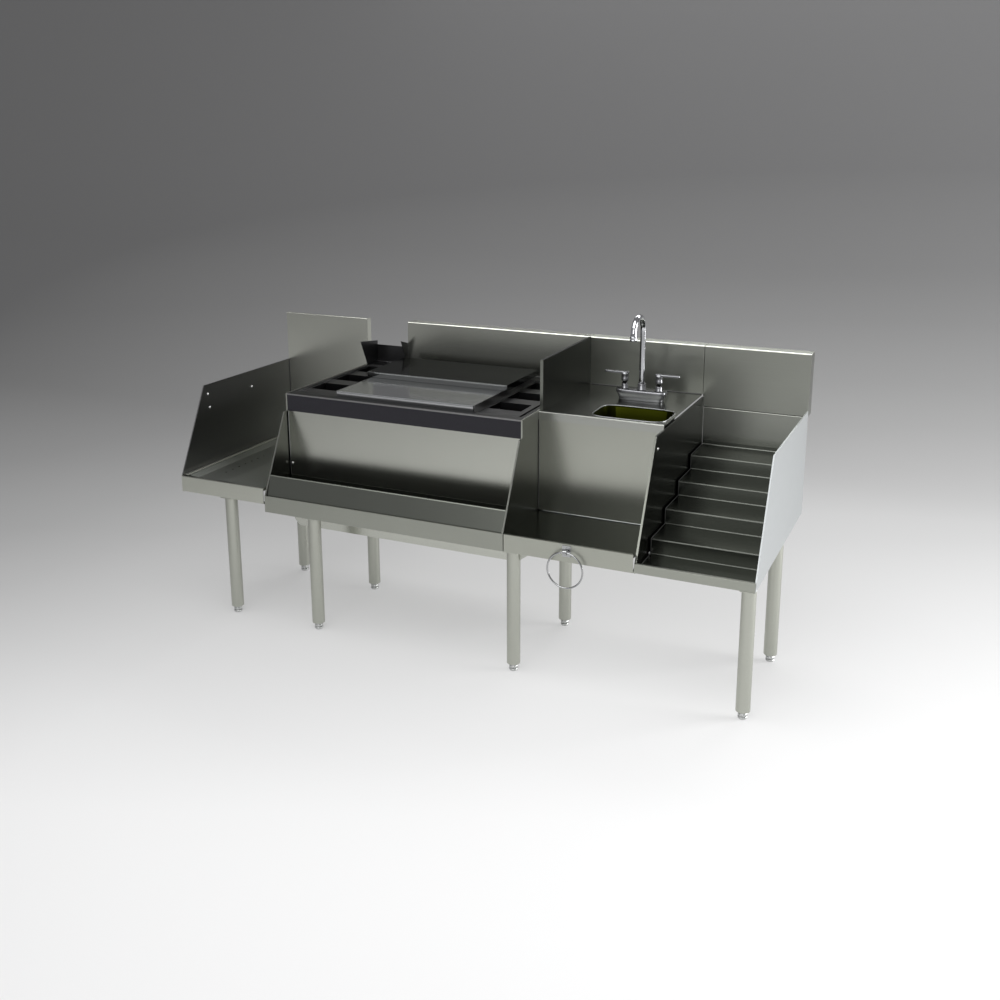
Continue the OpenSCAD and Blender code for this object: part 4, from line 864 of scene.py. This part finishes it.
# %% Paper backdrop
def make_backdrop():
    """A profile (y, z): floor, quarter circle and wall, carried along X."""
    bend = np.radians(np.linspace(-90, 0, 24))
    radius, back, wall_top, reach = 0.9, 1.9, 4.5, 9.0
    y = np.concatenate([[-reach, -4.0, 0.0], back + radius * np.cos(bend), [back + radius]])
    z = np.concatenate([[0, 0, 0], radius + radius * np.sin(bend), [wall_top]])
    x = np.linspace(-reach, reach, 12)
    wide_y, wide_x = np.meshgrid(y, x, indexing="ij")
    wide_z = np.repeat(z[:, None], x.size, axis=1)
    grid = np.stack([wide_x, wide_y, wide_z], axis=-1)
    mesh = bpy.data.meshes.new("backdrop")
    mesh.from_pydata(grid.reshape(-1, 3).tolist(), [], grid_faces(y.size, x.size, False))
    mesh.shade_smooth()
    made = bpy.data.objects.new("backdrop", mesh)
    bpy.context.scene.collection.objects.link(made)
    return made


def grey_ramp(tree, place_on, first, last, stops):
    """Ramp of greys: its two end colours and its stops as (position, tone)."""
    ramp = tree.nodes.new("ShaderNodeValToRGB")
    ramp.color_ramp.elements[0].color = (*first, 1)
    ramp.color_ramp.elements[1].color = (*last, 1)
    for position, tone in stops:
        ramp.color_ramp.elements.new(position).color = (tone, tone, tone, 1)
    tree.links.new(place_on, ramp.inputs[0])
    return ramp.outputs[0]


backdrop = make_backdrop()
paper = bpy.data.materials.new("paper")
paper.use_nodes = True
tree = paper.node_tree
shader = tree.nodes["Principled BSDF"]
shader.inputs["Roughness"].default_value = 0.9
place = tree.nodes.new("ShaderNodeTexCoord")
axes = tree.nodes.new("ShaderNodeSeparateXYZ")
tree.links.new(place.outputs["Object"], axes.inputs[0])
back_share, right_share, ramp_start, ramp_per_metre = 0.28, 0.11, 0.35, 0.52
depth = maths(tree, "ADD", maths(tree, "MULTIPLY", axes.outputs[1], back_share), axes.outputs[2])
depth = maths(tree, "SUBTRACT", depth, maths(tree, "MULTIPLY", axes.outputs[0], right_share))
depth = maths(tree, "MULTIPLY", maths(tree, "ADD", depth, ramp_start), ramp_per_metre)
# Painted light and shade on the paper: pale in front and on the right, grey above.
pale_to_grey = grey_ramp(tree, depth, (0.89, 0.89, 0.89), (0.19, 0.19, 0.192),
                         ((0.11, 0.73), (0.30, 0.44), (0.45, 0.35), (0.70, 0.27)))
tree.links.new(pale_to_grey, shader.inputs["Base Color"])
pool = tree.nodes.new("ShaderNodeMapping")
pool.inputs["Location"].default_value = (-1.8, 0.9, 0)
pool.inputs["Scale"].default_value = (1, 1, 5)
tree.links.new(place.outputs["Object"], pool.inputs["Vector"])
away = tree.nodes.new("ShaderNodeVectorMath")
away.operation = "LENGTH"
tree.links.new(pool.outputs[0], away.inputs[0])
pool_reach, own_share = 8.0, 0.55
# Painted light: the paper glows brightest in a pool to the right in front.
glow = grey_ramp(tree, maths(tree, "DIVIDE", away.outputs["Value"], pool_reach),
                 (0.99, 0.99, 0.99), (0.14, 0.14, 0.141),
                 ((0.10, 0.97), (0.20, 0.85), (0.32, 0.72), (0.39, 0.54), (0.44, 0.42),
                  (0.50, 0.34), (0.62, 0.26), (0.92, 0.17)))
own_light = tree.nodes.new("ShaderNodeEmission")
tree.links.new(glow, own_light.inputs["Color"])
path_kind = tree.nodes.new("ShaderNodeLightPath")
seen = maths(tree, "MAXIMUM", path_kind.outputs["Is Camera Ray"],
             maths(tree, "MAXIMUM", path_kind.outputs["Is Glossy Ray"],
                   path_kind.outputs["Is Transmission Ray"]))
blend = tree.nodes.new("ShaderNodeMixShader")
tree.links.new(maths(tree, "MULTIPLY", seen, own_share), blend.inputs[0])
tree.links.new(shader.outputs[0], blend.inputs[1])
tree.links.new(own_light.outputs[0], blend.inputs[2])
facing = tree.nodes.new("ShaderNodeNewGeometry")
clear = tree.nodes.new("ShaderNodeBsdfTransparent")
one_sided = tree.nodes.new("ShaderNodeMixShader")
tree.links.new(facing.outputs["Backfacing"], one_sided.inputs[0])
tree.links.new(blend.outputs[0], one_sided.inputs[1])
tree.links.new(clear.outputs[0], one_sided.inputs[2])
tree.links.new(one_sided.outputs[0], tree.nodes["Material Output"].inputs["Surface"])
dress(backdrop, paper)
print("backdrop ready")

# %% [markdown]
# Four large soft lamps light the station: one overhead, one in front, one from the right, where
# the end splash is brightest, and one from behind that brightens the top edges and the covers.
# The world adds an even grey.

# %% Lamps and world
def soft_lamp(name, place_at, aim, width, height, power):
    """Rectangular area lamp that looks at a point."""
    lamp = bpy.data.lights.new(name, "AREA")
    lamp.shape = "RECTANGLE"
    lamp.size = width
    lamp.size_y = height
    lamp.energy = power
    thing = bpy.data.objects.new(name, lamp)
    bpy.context.scene.collection.objects.link(thing)
    thing.location = place_at
    away = np.array(place_at) - np.array(aim)
    flat = math.hypot(away[0], away[1])
    thing.rotation_euler = (math.atan2(flat, away[2]), 0, math.atan2(away[0], -away[1]))
    return thing


soft_lamp("overhead", (-0.4, -1.2, 3.6), (0, 0, 0.6), 4.2, 2.6, 90)
soft_lamp("front", (0.6, -5.0, 2.6), (0, 0, 0.6), 3.6, 2.4, 70)
soft_lamp("right", (4.2, 1.2, 1.3), (0.9, 0, 0.6), 2.0, 2.2, 170)
soft_lamp("back", (0.2, 2.5, 2.9), (0, 0, 0.8), 4.0, 1.0, 60)
world = bpy.data.worlds.new("room")
bpy.context.scene.world = world
world.use_nodes = True
around = world.node_tree.nodes["Background"]
around.inputs["Color"].default_value = (0.42, 0.42, 0.43, 1)
around.inputs["Strength"].default_value = 0.6
